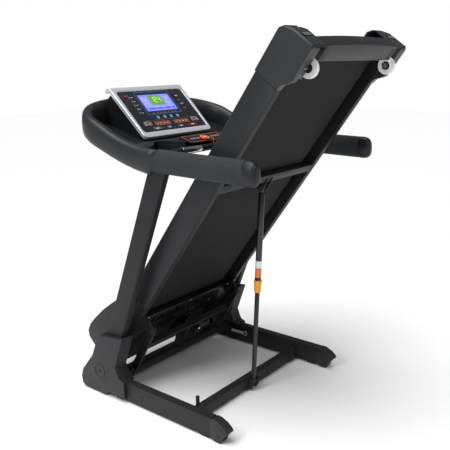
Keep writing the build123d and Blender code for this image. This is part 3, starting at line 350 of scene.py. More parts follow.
def belt_cloth(name, colour):
    """Woven polyester with a pebbled vinyl skin; the threads lie along and across the deck."""
    f = Finish(name, Specular_IOR_Level=0.16)
    flat = f.stretched((1, 1, 1), (FOLD_TILT, 0, 0))
    across = (f.axis("X", flat) * (2 * pi / THREAD_PITCH)).sine()
    along = (f.axis("Y", flat) * (2 * pi / THREAD_PITCH)).sine()
    weave = across * along
    mottle = f.noise(240, 4.0, roughness=0.7)
    cloud = f.noise(11, 4.0)
    base = f.blend(cloud, shade(colour, 0.82), shade(colour, 1.15))
    f.set("Base Color", f.blend(mottle.above(0.56) * 0.35, base, shade(colour, 1.7)))
    f.set("Roughness", 0.66 + mottle * 0.16)
    return f.set("Normal", f.bump(weave, 0.00016, 0.8, f.bump(mottle, 0.00025, 0.6))).material


def printed(name, colour, rough=0.35, glow=0.0):
    """Ink on film: one colour, faintly uneven as screen printing is."""
    f = Finish(name, Specular_IOR_Level=0.4)
    ink = f.blend(f.noise(700, 2.0), shade(colour, 0.92), shade(colour, 1.06))
    f.set("Base Color", ink)
    f.set("Roughness", f.noise(300, 2.0) * 0.1 + (rough - 0.05))
    if glow:
        f.set("Emission Color", ink)
        f.set("Emission Strength", glow)
    return f.material


def film(name, colour):
    """Hard glossy overlay film with the slightest waviness."""
    f = Finish(name, Specular_IOR_Level=0.35)
    f.set("Base Color", f.blend(f.noise(30, 3.0), shade(colour, 0.85), shade(colour, 1.15)))
    f.set("Roughness", f.noise(500, 2.0) * 0.08 + 0.40)
    return f.set("Normal", f.bump(f.noise(60, 2.0), 0.00002)).material


def display_glow(name):
    """Backlit display: cool violet blue, a little brighter in the middle."""
    f = Finish(name, Specular_IOR_Level=0.5, Emission_Strength=0.75)
    across = f.axis("X") * 9.0
    fade = (1.0 - across * across * 0.55).clamped(0.2, 1.0)
    colour = f.blend(fade, linear((92, 94, 222)), linear((140, 146, 240)))
    f.set("Base Color", f.blend(f.noise(900, 1.0) * 0.2, shade(linear((120, 122, 235)), 0.5), colour))
    f.set("Emission Color", colour)
    f.set("Roughness", f.noise(400, 1.0) * 0.06 + 0.10)
    return f.material


def fibreboard(name, colour):
    """Pressed wood chips."""
    f = Finish(name, Specular_IOR_Level=0.3)
    chips = f.cells(420)
    f.set("Base Color", f.blend(chips, shade(colour, 0.6), shade(colour, 1.25)))
    f.set("Roughness", 0.7 + chips * 0.2)
    return f.set("Normal", f.bump(chips, 0.0001)).material


def cord_braid(name, colour):
    """Strands that wind round a thin braided strap."""
    f = Finish(name, Sheen_Weight=0.1)
    strands = (f.axis("Z") * 5200 + f.axis("X") * 3600).sine()
    f.set("Base Color", f.blend(strands * 0.5 + 0.5, shade(colour, 0.6), shade(colour, 1.15)))
    f.set("Roughness", 0.6 + f.noise(700, 1.0) * 0.2)
    return f.set("Normal", f.bump(strands, 0.0003)).material


FINISHES = {}
INKS = {
    "orange_ink": (236, 118, 52),
    "white_ink": (232, 234, 236),
    "grey_ink": (122, 126, 132),
    "blue_ink": (64, 128, 196),
    "yellow_ink": (238, 206, 60),
    "red_ink": (214, 44, 48),
    "salmon_ink": (150, 96, 84),
    "sky_ink": (126, 164, 204),
    "panel_ink": (40, 44, 54),
}
# colour and glow of what the display shows
LIT_INKS = {
    "lcd_green": ((86, 146, 72), 0.45),
    "lcd_figure": ((206, 222, 70), 0.5),
    "lcd_pale": ((206, 212, 250), 0.45),
    "lcd_dark": ((66, 64, 160), 0.25),
}


def make_finishes(settings):
    """Mixes the finishes, each under the key that the pieces ask for."""
    frame_paint = (*settings.frame_colour, 1.0)
    plastic = (*settings.plastic_colour, 1.0)
    FINISHES.update({
        "frame_black": powder_coat("textured_powder_coat", frame_paint),
        # the deck's coat is the frame paint made darker: painted shade on the folded deck's underside
        "deck_black": powder_coat("deck_rail_coat_painted_shade", shade(frame_paint, 0.75), 0.5),
        "gloss_paint": satin_paint("satin_black_strut", linear((26, 26, 27)), 0.3),
        "motor_paint": satin_paint("motor_enamel", linear((40, 41, 44)), 0.4),
        "black_sheet": powder_coat("belly_sheet_paint", linear((12, 12, 13)), 0.34),
        "bright_steel": drawn_steel("turned_steel", linear((190, 192, 196))),
        "chrome_plate": drawn_steel("pulse_plate_steel", linear((222, 224, 228)), 0.16, (60, 900, 900)),
        "cast_metal": satin_paint("cast_pulley", linear((96, 97, 100)), 0.5, 0.7),
        "plain_aluminium": drawn_steel("heat_sink_aluminium", linear((176, 178, 182)), 0.4),
        "silver_plastic": satin_paint("silver_paint", linear((222, 225, 230)), 0.34, 0.45, 0.05),
        "grey_plastic": moulded("charcoal_moulding", plastic, 0.44),
        # the surround's moulding is the plastic colour made 1.25 times lighter: painted highlight
        "shell_plastic": moulded("console_moulding_painted_highlight", shade(plastic, 1.25), 0.40, 1100),
        # the end caps' moulding is the plastic colour made 1.45 times lighter: painted highlight
        "cap_plastic": moulded("end_cap_moulding_painted_highlight", shade(plastic, 1.45), 0.36, 1500, 0.00003),
        "black_plastic": moulded("black_moulding", linear((22, 23, 25)), 0.46, gloss=0.22),
        "gloss_black": moulded("satin_grip_cap", linear((24, 25, 28)), 0.42, 1800, 0.00002),
        "white_plastic": moulded("white_wheel", linear((228, 228, 224)), 0.4, 900, 0.00003, 0.03),
        "red_plastic": moulded("red_key_plastic", linear((214, 34, 42)), 0.28, 1800, 0.00002, 0.05),
        "yellow_plastic": moulded("amber_sleeve", linear((238, 160, 40)), 0.34, 1500, 0.00003, 0.05),
        "panel_film": film("panel_film", linear((34, 36, 42))),
        "key_film": film("key_film", linear((40, 42, 48))),
        "green_key": printed("green_key_film", linear((98, 188, 104)), 0.3),
        "blue_key": printed("blue_grey_key_film", linear((66, 84, 104)), 0.3),
        "display_lens": display_glow("display_glow"),
        "circuit_board": satin_paint("solder_mask", linear((40, 108, 60)), 0.35),
        "grip_foam": foam("grip_foam", linear((38, 40, 43))),
        "black_rubber": rubber("black_rubber", linear((26, 26, 27))),
        "belt_fabric": belt_cloth("belt_cloth", linear((27, 27, 28))),
        "red_cord": cord_braid("red_cord_braid", linear((206, 44, 54))),
        "lead_sleeve": rubber("lead_sleeve", linear((186, 187, 178)), 0.5),
        "board_wood": fibreboard("running_board_edge", linear((92, 74, 56))),
    })
    for key, colour in INKS.items():
        FINISHES[key] = printed(key, linear(colour))
    for key, (colour, glow) in LIT_INKS.items():
        FINISHES[key] = printed(key, linear(colour), 0.3, glow)


# ---- mesh helpers ----------------------------------------
def in_scene(name, data):
    """A new object for some data, linked into the scene."""
    thing = bpy.data.objects.new(name, data)
    bpy.context.scene.collection.objects.link(thing)
    return thing


def finished(name, bm, body, finish, replaces=(), smooth=True, recalc=True):
    """Turns a bmesh into a piece that rides on a CAD body."""
    if recalc:
        bmesh.ops.remove_doubles(bm, verts=bm.verts, dist=WELD_DIST)
        bmesh.ops.recalc_face_normals(bm, faces=bm.faces)
    for face in bm.faces:
        face.smooth = smooth
    mesh = bpy.data.meshes.new(name)
    bm.to_mesh(mesh)
    bm.free()
    piece = in_scene(name, mesh)
    for key in ([finish] if isinstance(finish, str) else finish):
        mesh.materials.append(FINISHES[key])
    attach(piece, body)
    if replaces:
        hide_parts(*replaces)
    return piece


def round_edges(piece, width, segments=2, angle=SHARP):
    """Rounds a piece's edges that are sharper than an angle."""
    bevel = piece.modifiers.new("Rounded edges", "BEVEL")
    bevel.width = width
    bevel.segments = segments
    bevel.limit_method = "ANGLE"
    bevel.angle_limit = radians(angle)
    bevel.harden_normals = True
    bevel.use_clamp_overlap = True
    return piece


def merged(node, flat=0.6):
    """A bmesh of a CAD node's solids with their triangles joined into whole faces."""
    bm = bmesh.new()
    bm.from_mesh(NODES[node].data)
    for face in bm.faces:
        face.material_index = 0
    bmesh.ops.remove_doubles(bm, verts=bm.verts, dist=2 * WELD_DIST)
    bmesh.ops.dissolve_limit(bm, angle_limit=radians(flat), verts=bm.verts, edges=bm.edges)
    return bm


def softened(name, node, finish, width=0.001, segments=2):
    """A copy of a CAD node whose sharp edges are rounded as the real ones are."""
    piece = finished(name, merged(node), BODY_OF[node], finish, [node], recalc=False)
    return round_edges(piece, width, segments)


def coat(finish, *nodes):
    """The CAD node keeps its own mesh and gets a better material."""
    for node in nodes:
        data = NODES[node].data
        if not data.materials:
            data.materials.append(FINISHES[finish])
        for slot in NODES[node].material_slots:
            slot.material = FINISHES[finish]
        data.polygons.foreach_set("use_smooth", [True] * len(data.polygons))
        data.set_sharp_from_angle(angle=radians(SHARP))


def loft(bm, rings, capped=True):
    """Skins a run of closed outlines, each a list of the same number of points."""
    ring = bmesh.ops.create_circle(bm, cap_ends=False, segments=len(rings[0]), radius=1.0)["verts"]
    for vert, point in zip(ring, rings[0]):
        vert.co = point
    first = list(ring)
    for points in rings[1:]:
        edges = [bm.edges.get((ring[i - 1], ring[i])) for i in range(len(ring))]
        made = bmesh.ops.extrude_edge_only(bm, edges=edges)["geom"]
        fresh = {v for v in made if isinstance(v, bmesh.types.BMVert)}
        ring = [next(e.other_vert(v) for e in v.link_edges if e.other_vert(v) in fresh) for v in ring]
        for vert, point in zip(ring, points):
            vert.co = point
    if capped:
        for end in (first, ring):
            edges = [bm.edges.get((end[i - 1], end[i])) for i in range(len(end))]
            bmesh.ops.contextual_create(bm, geom=edges)
    return bm


def rounded_ring(count, power):
    """Points (across, up), each from -1 to 1, round a soft-cornered oval."""
    points = []
    for i in range(count):
        turn = 2 * pi * i / count
        c, s = cos(turn), sin(turn)
        points.append((abs(c) ** (2 / power) * (1 if c >= 0 else -1),
                       abs(s) ** (2 / power) * (1 if s >= 0 else -1)))
    return points


def plate(bm, place, x, y, width, height, thick, corner=0.0, line=0.0, index=0, turn=0.0):
    """A thin rounded plate, or with line a frame of that line width, lying on a plane."""
    made = bmesh.ops.create_grid(bm, x_segments=1, y_segments=1, size=0.5)["verts"]
    bmesh.ops.scale(bm, verts=made, vec=(width, height, 1))
    faces = list({f for v in made for f in v.link_faces})
    if corner:
        made = bmesh.ops.bevel(bm, geom=made, offset=corner, segments=4, profile=0.5, affect="VERTICES",
                               material=-1)["verts"]
        faces = list({f for v in made for f in v.link_faces})
    if line:
        rim = bmesh.ops.inset_region(bm, faces=faces, thickness=line, use_even_offset=True,
                                      use_boundary=True)["faces"]
        bmesh.ops.delete(bm, geom=faces, context="FACES_ONLY")
        faces = rim
    grown = bmesh.ops.extrude_face_region(bm, geom=faces)["geom"]
    top = [v for v in grown if isinstance(v, bmesh.types.BMVert)]
    bmesh.ops.translate(bm, verts=top, vec=(0, 0, thick))
    bmesh.ops.delete(bm, geom=faces, context="FACES_ONLY")
    whole = {v for f in faces if f.is_valid for v in f.verts} | set(top)
    for v in list(whole):
        whole |= {e.other_vert(v) for e in v.link_edges}
    for f in {f for v in whole for f in v.link_faces}:
        f.material_index = index
    bmesh.ops.transform(bm, verts=list(whole),
                        matrix=place @ Matrix.Translation((x, y, 0)) @ Matrix.Rotation(turn, 4, "Z"))


SCREW_SIDES = 20
# width against the step before, and rise as a share of the head's height; the last two are the recess
SCREW_STEPS = ((1.0, 0.6), (0.84, 0.3), (0.7, 0.1), (0.62, 0.0), (1.0, -0.55))


def button_screw(bm, place, radius, height):
    """A low domed screw head with a driver recess."""
    rim = bmesh.ops.create_circle(bm, cap_ends=True, segments=SCREW_SIDES, radius=radius)["verts"]
    face = next(f for f in rim[0].link_faces if len(f.verts) == SCREW_SIDES)
    head = set(rim)
    for width, rise in SCREW_STEPS:
        grown = bmesh.ops.extrude_face_region(bm, geom=[face])["geom"]
        bmesh.ops.delete(bm, geom=[face], context="FACES_ONLY")
        face = next(g for g in grown if isinstance(g, bmesh.types.BMFace))
        bmesh.ops.translate(bm, verts=face.verts, vec=(0, 0, rise * height))
        bmesh.ops.scale(bm, verts=face.verts, vec=(width, width, 1))
        head |= set(face.verts)
    bmesh.ops.transform(bm, verts=list(head), matrix=place)


def facing(point, normal):
    """A place at a point whose Z is along the normal."""
    return Matrix.Translation(point) @ Vector(normal).to_track_quat("Z", "Y").to_matrix().to_4x4()


def tube_along(name, points, radius, body, finish):
    """A round cord on one smooth line with those control points."""
    curve = bpy.data.curves.new(name, "CURVE")
    curve.dimensions = "3D"
    curve.bevel_depth = radius
    curve.bevel_resolution = 5
    curve.resolution_u = 12
    spline = curve.splines.new("NURBS")
    spline.points.add(len(points) - 1)
    for point, place in zip(spline.points, points):
        point.co = (*place, 1.0)
    spline.order_u = 3
    spline.use_endpoint_u = True
    piece = in_scene(name, curve)
    curve.materials.append(FINISHES[finish])
    curve.use_fill_caps = True
    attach(piece, body)
    return piece


# ---- pieces ----------------------------------------------
def make_camera(settings):
    """A camera behind and to the left of the object."""
    data = bpy.data.cameras.new("camera")
    data.lens = settings.lens
    data.sensor_width = 36.0
    data.shift_x, data.shift_y = CAMERA_SHIFT
    data.clip_start = 0.05
    camera = in_scene("camera", data)
    ahead = Vector((cos(CAMERA_PITCH) * cos(CAMERA_YAW), cos(CAMERA_PITCH) * sin(CAMERA_YAW),
                    sin(CAMERA_PITCH)))
    right = ahead.cross(Vector((0, 0, 1))).normalized()
    up = right.cross(ahead)
    tilted = right * cos(CAMERA_ROLL) + up * sin(CAMERA_ROLL)
    upright = up * cos(CAMERA_ROLL) - right * sin(CAMERA_ROLL)
    turn = Matrix((tilted, upright, -ahead)).transposed().to_4x4()
    camera.matrix_world = Matrix.Translation(CAMERA_PLACE) @ turn
    bpy.context.scene.camera = camera


def shining(way):
    """The turn of a light that shines that way."""
    return Vector(way).to_track_quat("-Z", "Y").to_matrix().to_4x4()


def soft_light(name, spot, target, size, power):
    """A round lamp at a spot, aimed at a target."""
    data = bpy.data.lights.new(name, "AREA")
    data.shape = "DISK"
    data.size = size
    data.energy = power
    in_scene(name, data).matrix_world = Matrix.Translation(spot) @ shining(Vector(target) - Vector(spot))


def make_lights(settings):
    """A wide overhead light, two lamps and a white room."""
    sun = bpy.data.lights.new("overhead_softbox", "SUN")
    sun.energy = settings.key_power
    sun.angle = SUN_SPREAD
    in_scene("overhead_softbox", sun).matrix_world = shining(SUN_WAY)
    for name, spot, target, size, share in SIDE_LIGHTS:
        soft_light(name, spot, target, size, settings.key_power * share)
    world = bpy.data.worlds.new("studio")
    world.use_nodes = True
    nodes, links = world.node_tree.nodes, world.node_tree.links
    background = nodes["Background"]
    background.inputs["Color"].default_value = (1, 1, 1, 1)
    path = nodes.new("ShaderNodeLightPath")
    level = nodes.new("ShaderNodeMapRange")
    level.inputs["To Min"].default_value = settings.world_power
    level.inputs["To Max"].default_value = 1.0
    links.new(path.outputs["Is Camera Ray"], level.inputs["Value"])
    links.new(level.outputs["Result"], background.inputs["Strength"])
    bpy.context.scene.world = world
    bpy.context.scene.view_settings.view_transform = "Standard"


def make_floor():
    """A wide matt floor, nearly white."""
    bm = bmesh.new()
    bmesh.ops.create_grid(bm, x_segments=1, y_segments=1, size=FLOOR_HALF)
    mesh = bpy.data.meshes.new("studio_floor")
    bm.to_mesh(mesh)
    bm.free()
    floor = in_scene("studio_floor", mesh)
    f = Finish("pale_floor", Specular_IOR_Level=0.2)
    f.set("Base Color", f.blend(f.noise(2.0, 2.0), *FLOOR_TONES))
    f.set("Roughness", f.noise(40, 2.0) * 0.1 + 0.75)
    mesh.materials.append(f.material)


# piece, CAD node, finish, edge width, bevel segments
BASE_PIECES = [
    ("base_tube_pair", "base_tubes", "frame_black", 0.004, 3),
    ("base_cross_tubes", "base_crossbars", "frame_black", 0.003, 3),
    ("base_bracket_set", "base_brackets", "frame_black", 0.0008, 2),
    ("foot_cap_pair", "foot_caps", "grey_plastic", 0.003, 3),
    ("rubber_foot_pads", "rubber_feet", "black_rubber", 0.0015, 2),
    ("post_pair", "posts", "frame_black", 0.003, 3),
    ("post_cover_pair", "post_covers", "grey_plastic", 0.004, 3),
    ("floor_wheel_left", "transport_wheel_left", "black_plastic", 0.002, 3),
    ("floor_wheel_right", "transport_wheel_right", "black_plastic", 0.002, 3),
]
# screws at (y, z) on the outer face of each cover and each base tube
COVER_FACE = 0.387
COVER_SCREWS = ((0.262, 0.240), (0.292, 0.052), (0.430, 0.060))
TUBE_FACE = 0.371
TUBE_SCREWS = ((0.150, 0.045), (-0.060, 0.045))


def make_base_frame():
    """Base tubes, posts, covers, feet and floor wheels."""
    for name, node, finish, width, segments in BASE_PIECES:
        softened(name, node, finish, width, segments)
    coat("bright_steel", "transport_axles")
    coat("lead_sleeve", "earth_lead")


def make_cover_screws():
    """Screw heads on the sides of the covers and the base tubes."""
    bm = bmesh.new()
    for side in (-1, 1):
        for y, z in COVER_SCREWS:
            button_screw(bm, facing((side * COVER_FACE, y, z), (side, 0, 0)), 0.0048, 0.0012)
        for y, z in TUBE_SCREWS:
            button_screw(bm, facing((side * TUBE_FACE, y, z), (side, 0, 0)), 0.006, 0.002)
    finished("cover_screws", bm, "base", "gloss_paint", smooth=False)


# distance behind the grip and width against the grip's, for each ring of its end cap
CAP_RINGS = ((-0.0003, 1.0), (0.004, 1.012), (0.014, 1.012), (0.024, 0.985), (0.031, 0.93),
             (0.037, 0.84), (0.041, 0.70), (0.0427, 0.52), (0.043, 0.30))


def make_grips():
    """Foam grips, and domed caps on their ends."""
    softened("foam_grips", "grips", "grip_foam", 0.0012)
    bm = bmesh.new()
    outline = rounded_ring(40, 2.15)
    for side in (-1, 1):
        rings = []
        for along, scale in CAP_RINGS:
            y = GRIP_REAR - along
            middle = GRIP_Z - along * sin(GRIP_RISE)
            rings.append([Vector((side * ARM_X + u * ARM_W / 2 * scale, y + v * 0.0009,
                                  middle + v * GRIP_H / 2 * scale)) for u, v in outline])
        loft(bm, rings)
    finished("grip_end_caps", bm, "base", "gloss_black", ["grip_caps"])


SHELL_TURNS = 16


def shell_path():
    """Stations (x, y, outward x, outward y, half width) round the console shell, right arm to left."""
    stations = [(ARM_X, y, 1.0, 0.0, ARM_W / 2) for y in
                (SEAM_Y, 0.050, 0.085, 0.125, 0.165, 0.205, 0.245, 0.285)]
    for i in range(SHELL_TURNS + 1):
        turn = pi / 2 * i / SHELL_TURNS
        x, y = ARM_X * cos(turn), SHELL_CENTRE + SHELL_DEPTH * sin(turn)
        nx, ny = cos(turn) / ARM_X, sin(turn) / SHELL_DEPTH
        length = hypot(nx, ny)
        half = (ARM_W + (FRONT_WALL - ARM_W) * sin(turn) ** 2) / 2
        stations.append((x, y, nx / length, ny / length, half))
    left = [(-x, y, -nx, ny, half) for x, y, nx, ny, half in reversed(stations[:-1])]
    return stations + left


def make_shell():
    """The U-shaped console surround, slanted where it meets the grips."""
    outline = rounded_ring(44, 2.7)
    stations = shell_path()
    rings = []
    for k, (x, y, nx, ny, half) in enumerate(stations):
        ring = []
        from_seam = min(k, len(stations) - 1 - k)
        for u, v in outline:
            share = (v + 1) / 2
            px = x + nx * half * u
            py = y + ny * half * u
            if from_seam == 0:
                py = SEAM_Y + SEAM_SLANT * (1 - share) + SEAM_GAP
            elif from_seam == 1:
                py = y + SEAM_SLANT * (1 - share) * 0.5
            low, high = curve_at(HEM, py), curve_at(RIM, py)
            ring.append(Vector((px, py, low + (high - low) * share)))
        rings.append(ring)
    bm = bmesh.new()
    loft(bm, rings)
    finished("console_surround", bm, "base", "shell_plastic", ["console_shell"])


TRAY_INSET = 0.004
TRAY_CUTS = 30
TRAY_FIRST_CUT = 0.09
TRAY_STEP = 0.015
SKIRT_SIDE = 0.347
SKIRT_END = 0.20


def make_tray():
    """A plate with a hand hollow each side of the shelf, bent along its length, with a skirt below."""
    bm = bmesh.new()
    outer = [(x - nx * TRAY_INSET, y - ny * TRAY_INSET) for x, y, nx, ny, _ in shell_path() if y > 0.10]
    loop = TRAY_EDGE[::-1] + outer + [(-x, y) for x, y in TRAY_EDGE]
    bm.faces.new([bm.verts.new((x, y, 0)) for x, y in loop])
    for i in range(1, TRAY_CUTS):
        bmesh.ops.bisect_plane(bm, geom=bm.verts[:] + bm.edges[:] + bm.faces[:],
                               plane_co=(0, TRAY_FIRST_CUT + TRAY_STEP * i, 0), plane_no=(0, 1, 0), dist=1e-5)
    edges = [e for e in bm.edges if e.is_boundary
             and all(abs(v.co.x) < SKIRT_SIDE and v.co.y < SKIRT_END for v in e.verts)]
    skirt = bmesh.ops.extrude_edge_only(bm, edges=edges)["geom"]
    low = {v for v in skirt if isinstance(v, bmesh.types.BMVert)}
    for vert in bm.verts:
        vert.co.z = curve_at(FLOOR, vert.co.y) - (SKIRT if vert in low else 0.0)
    bmesh.ops.recalc_face_normals(bm, faces=bm.faces)
    top = next(f for f in bm.faces if f.calc_center_median().y > 0.3)
    if top.normal.z < 0:
        bmesh.ops.reverse_faces(bm, faces=bm.faces)
    piece = finished("console_tray", bm, "base", "black_plastic", recalc=False)
    wall = piece.modifiers.new("Wall", "SOLIDIFY")
    wall.thickness = TRAY_WALL
    wall.offset = -1
    round_edges(piece, 0.0012, 2, 40)


KEY_FINISH = {"program_key": "blue_key", "mode_key": "blue_key"}


def make_console():
    """The console's housing, bezel, face, display and buttons."""
    softened("console_housing", "console_pod", "black_plastic", 0.003, 3)
    softened("silver_bezel", "console_bezel", "silver_plastic", 0.0018, 3)
    softened("panel_face", "face_panel", "panel_film", 0.0004)
    coat("display_lens", "display_lens")
    coat("circuit_board", "console_board")
    for node in NODES:
        if node.endswith("_key") and node != "safety_key":
            softened("button_" + node[:-4], node, KEY_FINISH.get(node, "key_film"),
                     0.0005)


PRINT_KEYS = ["orange_ink", "white_ink", "grey_ink", "blue_ink", "yellow_ink", "red_ink", "green_key",
              "salmon_ink", "sky_ink", "panel_ink", "lcd_green", "lcd_figure", "lcd_pale", "lcd_dark"]
SEGMENTS = {"0": "abcdef", "1": "bc", "2": "abged", "3": "abgcd", "4": "fgbc", "5": "afgcd",
            "6": "afgedc", "7": "abc", "8": "abcdefg", "9": "abcdfg"}
# heights up the panel of its rows, mm
KEY_ROW = 38
SIDE_ROW = 62
ICON_ROW = 92


def figure(bm, place, digit, x, y, size, ink):
    """One seven-segment figure, size tall."""
    wide, bar = size * 0.5, size * 0.13
    spots = {"a": (0, 0.5, 1), "g": (0, 0, 1), "d": (0, -0.5, 1), "f": (-0.5, 0.25, 0),
             "b": (0.5, 0.25, 0), "e": (-0.5, -0.25, 0), "c": (0.5, -0.25, 0)}
    for name in SEGMENTS[digit]:
        u, v, level = spots[name]
        w, h = (wide * 0.8, bar) if level else (bar, size * 0.40)
        plate(bm, place, x + u * wide, y + v * size, w, h, 0.0001, index=ink)


def make_face_print():
    """Keys, strips and icons printed on the face, and what the display shows. Sizes in mm."""
    ink = {key: i for i, key in enumerate(PRINT_KEYS)}
    bm = bmesh.new()
    face = PANEL @ Matrix.Translation((0, 0, FACE_OUT + 0.00002))
    raised = face @ Matrix.Translation((0, 0, KEY_RISE))
    glass = PANEL @ Matrix.Translation((0, 0, GLASS_OUT))

    def mark(x, t, w, h, colour, corner=0.0, line=0.0, place=face):
        plate(bm, place, x / 1000, t / 1000, w / 1000, h / 1000, INK, corner / 1000, line / 1000, ink[colour])

    mark(0, 167, 190, 118, "blue_ink", 6, 1.7)
    for i in range(7):
        mark(-62 + i * 20.6, 115, 12, 1.6, "grey_ink")
        mark(-62 + i * 20.6, 112, 8, 1.0, "grey_ink")
    for x in (-55, -18, 18, 55):
        mark(x, ICON_ROW, 13, 13, "sky_ink", 2.4)
        mark(x, ICON_ROW, 8, 1.6, "panel_ink")
        mark(x, ICON_ROW + 3, 4, 1.6, "panel_ink")
    mark(0, 79, 270, 0.8, "grey_ink")
    for x in (-53, 53):
        mark(x, SIDE_ROW, 84, 17, "orange_ink", 3, 1.5)
        for i in range(4):
            mark(x - 28.5 + i * 19, SIDE_ROW, 15, 10, "salmon_ink", 2)
            mark(x - 28.5 + i * 19, SIDE_ROW, 8, 3.4, "white_ink", 1)
    for x in (-133, 133):
        mark(x, SIDE_ROW + 12, 30, 1.5, "white_ink")
        mark(x, SIDE_ROW, 4.5, 4.5, "orange_ink", 2)
    for x, plus in ((-145, False), (-121, True), (121, False), (145, True)):
        mark(x, SIDE_ROW, 14, 13, "white_ink", 2.6, 0.9, raised)
        mark(x, SIDE_ROW, 6, 1.2, "white_ink", place=raised)
        if plus:
            mark(x, SIDE_ROW, 1.2, 6, "white_ink", place=raised)
    for x, wide, line, colour in ((-100, 46, 1.4, "green_key"), (100, 46, 1.4, "red_ink"),
                                  (-33, 26, 0.7, "blue_ink"), (33, 26, 0.7, "blue_ink")):
        mark(x, KEY_ROW, wide - 3, 10, colour, 2.5, line, raised)
        mark(x, KEY_ROW, wide * 0.4, 3.0, "white_ink", 1.2, place=raised)
    for x in (-66, 0, 66):
        mark(x, KEY_ROW, 3.0, 3.0, "orange_ink", 1.4)
    for i in range(5):
        mark(-130 + (i % 2) * 2, 120 + i * 20, 6, 9, "grey_ink", 1.2)
        mark(-118, 120 + i * 20, 9, 1.4, "white_ink")
    mark(-140, 210, 16, 5, "red_ink", 1.5)
    for i, colour in enumerate(("red_ink", "white_ink", "grey_ink", "white_ink")):
        mark(128, 130 + i * 22, 18, 2.0, colour)
        mark(128, 125 + i * 22, 12, 1.2, "grey_ink")

    mark(0, 180, 72, 52, "lcd_green", 2, place=glass)
    for x in (-62, 62):
        for t in (196, 174, 152):
            mark(x, t, 34, 1.0, "lcd_pale", place=glass)
    mark(0, 146, 156, 1.0, "lcd_pale", place=glass)
    for i in range(16):
        mark(-72 + i * 9.6, 137, 6.4, 2.0 + 9.0 * abs(sin(i * 0.7)), "lcd_dark", 0.6, place=glass)
    clock = glass @ Matrix.Translation((0, 0, 0.0001))
    for digit, x in (("1", -0.020), ("2", -0.005), ("4", 0.018)):
        figure(bm, clock, digit, x, 0.182, 0.026, ink["lcd_figure"])
    for digits, x, y in (("036", -0.062, 0.185), ("127", 0.062, 0.185), ("245", -0.062, 0.163),
                         ("08", 0.062, 0.163)):
        for i, digit in enumerate(digits):
            figure(bm, clock, digit, x - 0.010 + i * 0.010, y, 0.011, ink["lcd_pale"])
    finished("panel_print", bm, "base", PRINT_KEYS, smooth=False)


def make_shelf():
    """The shelf that holds the safety key, with its printed border."""
    softened("key_shelf_moulding", "key_shelf", "black_plastic", 0.0016)
    bm = bmesh.new()
    top = SHELF @ Matrix.Translation((0, 0, 0.00003))
    plate(bm, top, 0, 0.0365, 0.206, 0.060, 0.0002, 0.007, 0.0016, 0)
    for i in range(3):
        for first in (-0.072, 0.045):
            plate(bm, top, first + i * 0.018, 0.038, 0.010, 0.010, 0.0002, 0.003, 0.0012, 1)
    finished("shelf_print", bm, "base", ["orange_ink", "white_ink"], smooth=False)


def make_safety_key():
    """The key with its rim print, strap and tag."""
    cord = tube_along("safety_cord", CORD_ROUTE, 0.002, "safety_key", "red_cord")
    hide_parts("safety_key_cord")
    tag = softened("cord_tag", "safety_key_tag", "red_plastic", 0.0008)
    softened("safety_key_disc", "safety_key", "red_plastic", 0.0016, 3)
    bm = bmesh.new()
    top = SHELF @ Matrix.Translation((-0.015, 0.024, 0.00752))
    plate(bm, top, 0, 0, 0.0352, 0.0352, 0.0003, 0.0174, 0.0022, 0)
    plate(bm, top, 0, 0, 0.014, 0.0036, 0.0003, 0.001, 0.0, 1)
    finished("key_rim_print", bm, "safety_key", ["yellow_ink", "white_ink"], smooth=False)


def make_pulse_bar():
    """The cross handle and its pulse plates."""
    coat("frame_black", "cross_handle")
    softened("pulse_plate_pair", "pulse_plates", "chrome_plate", 0.0004)


def make_deck_frame():
    """Rails, cross tubes, belt, rollers, motors and the lift frame."""
    softened("deck_rail_pair", "deck_rails", "deck_black", 0.003, 3)
    softened("deck_cross_tubes", "deck_crossmembers", "deck_black", 0.002)
    softened("deck_bracket_set", "deck_brackets", "deck_black", 0.0008)
    coat("board_wood", "running_board")
    coat("black_rubber", "board_cushions", "drive_belt")
    coat("belt_fabric", "running_belt")
    coat("bright_steel", "deck_shafts", "front_roller", "rear_roller", "lift_push_tube")
    coat("motor_paint", "drive_motor", "lift_motor")
    coat("cast_metal", "motor_pulley")
    coat("plain_aluminium", "motor_controller")
    softened("lift_frame_weldment", "lift_frame", "deck_black", 0.0012)


RIBS = 7
FIRST_RIB = 0.247
RIB_PITCH = 0.0075
RIB_WIDTH = 0.0032
RIB_LENGTH = 0.96
RIB_MIDDLE = 0.832
FOOT_RAIL_TOP = 0.0961


def make_foot_rails():
    """Foot rails with rubber ribs along them."""
    softened("foot_rail_pair", "foot_rails", "grey_plastic", 0.003, 3)
    bm = bmesh.new()
    top = DECK @ Matrix.Translation((0, 0, FOOT_RAIL_TOP))
    for side in (-1, 1):
        for i in range(RIBS):
            plate(bm, top, side * (FIRST_RIB + i * RIB_PITCH), RIB_MIDDLE, RIB_WIDTH, RIB_LENGTH, 0.0009,
                  0.0015)
    finished("tread_ribs", bm, "deck", "black_rubber", smooth=False)


def make_hood():
    """The motor hood."""
    softened("hood_moulding", "motor_hood", "grey_plastic", 0.004, 3)


# across the deck and along it from the fold axis
PAN_SCREWS = ((-0.246, 0.252), (0, 0.252), (0.246, 0.252), (-0.222, 0.178), (0.164, 0.178))


def make_belly_pan():
    """The louvred sheet under the motor, and its screws."""
    softened("belly_pan_sheet", "belly_pan", "black_sheet", 0.0006)
    bm = bmesh.new()
    for x, s in PAN_SCREWS:
        button_screw(bm, facing(on_deck(x, s, 0), -DECK.col[2].to_3d()), 0.005, 0.0024)
    finished("pan_screw_heads", bm, "deck", "bright_steel", ["pan_screws"], smooth=False)


HUB_RADIUS = 0.0145


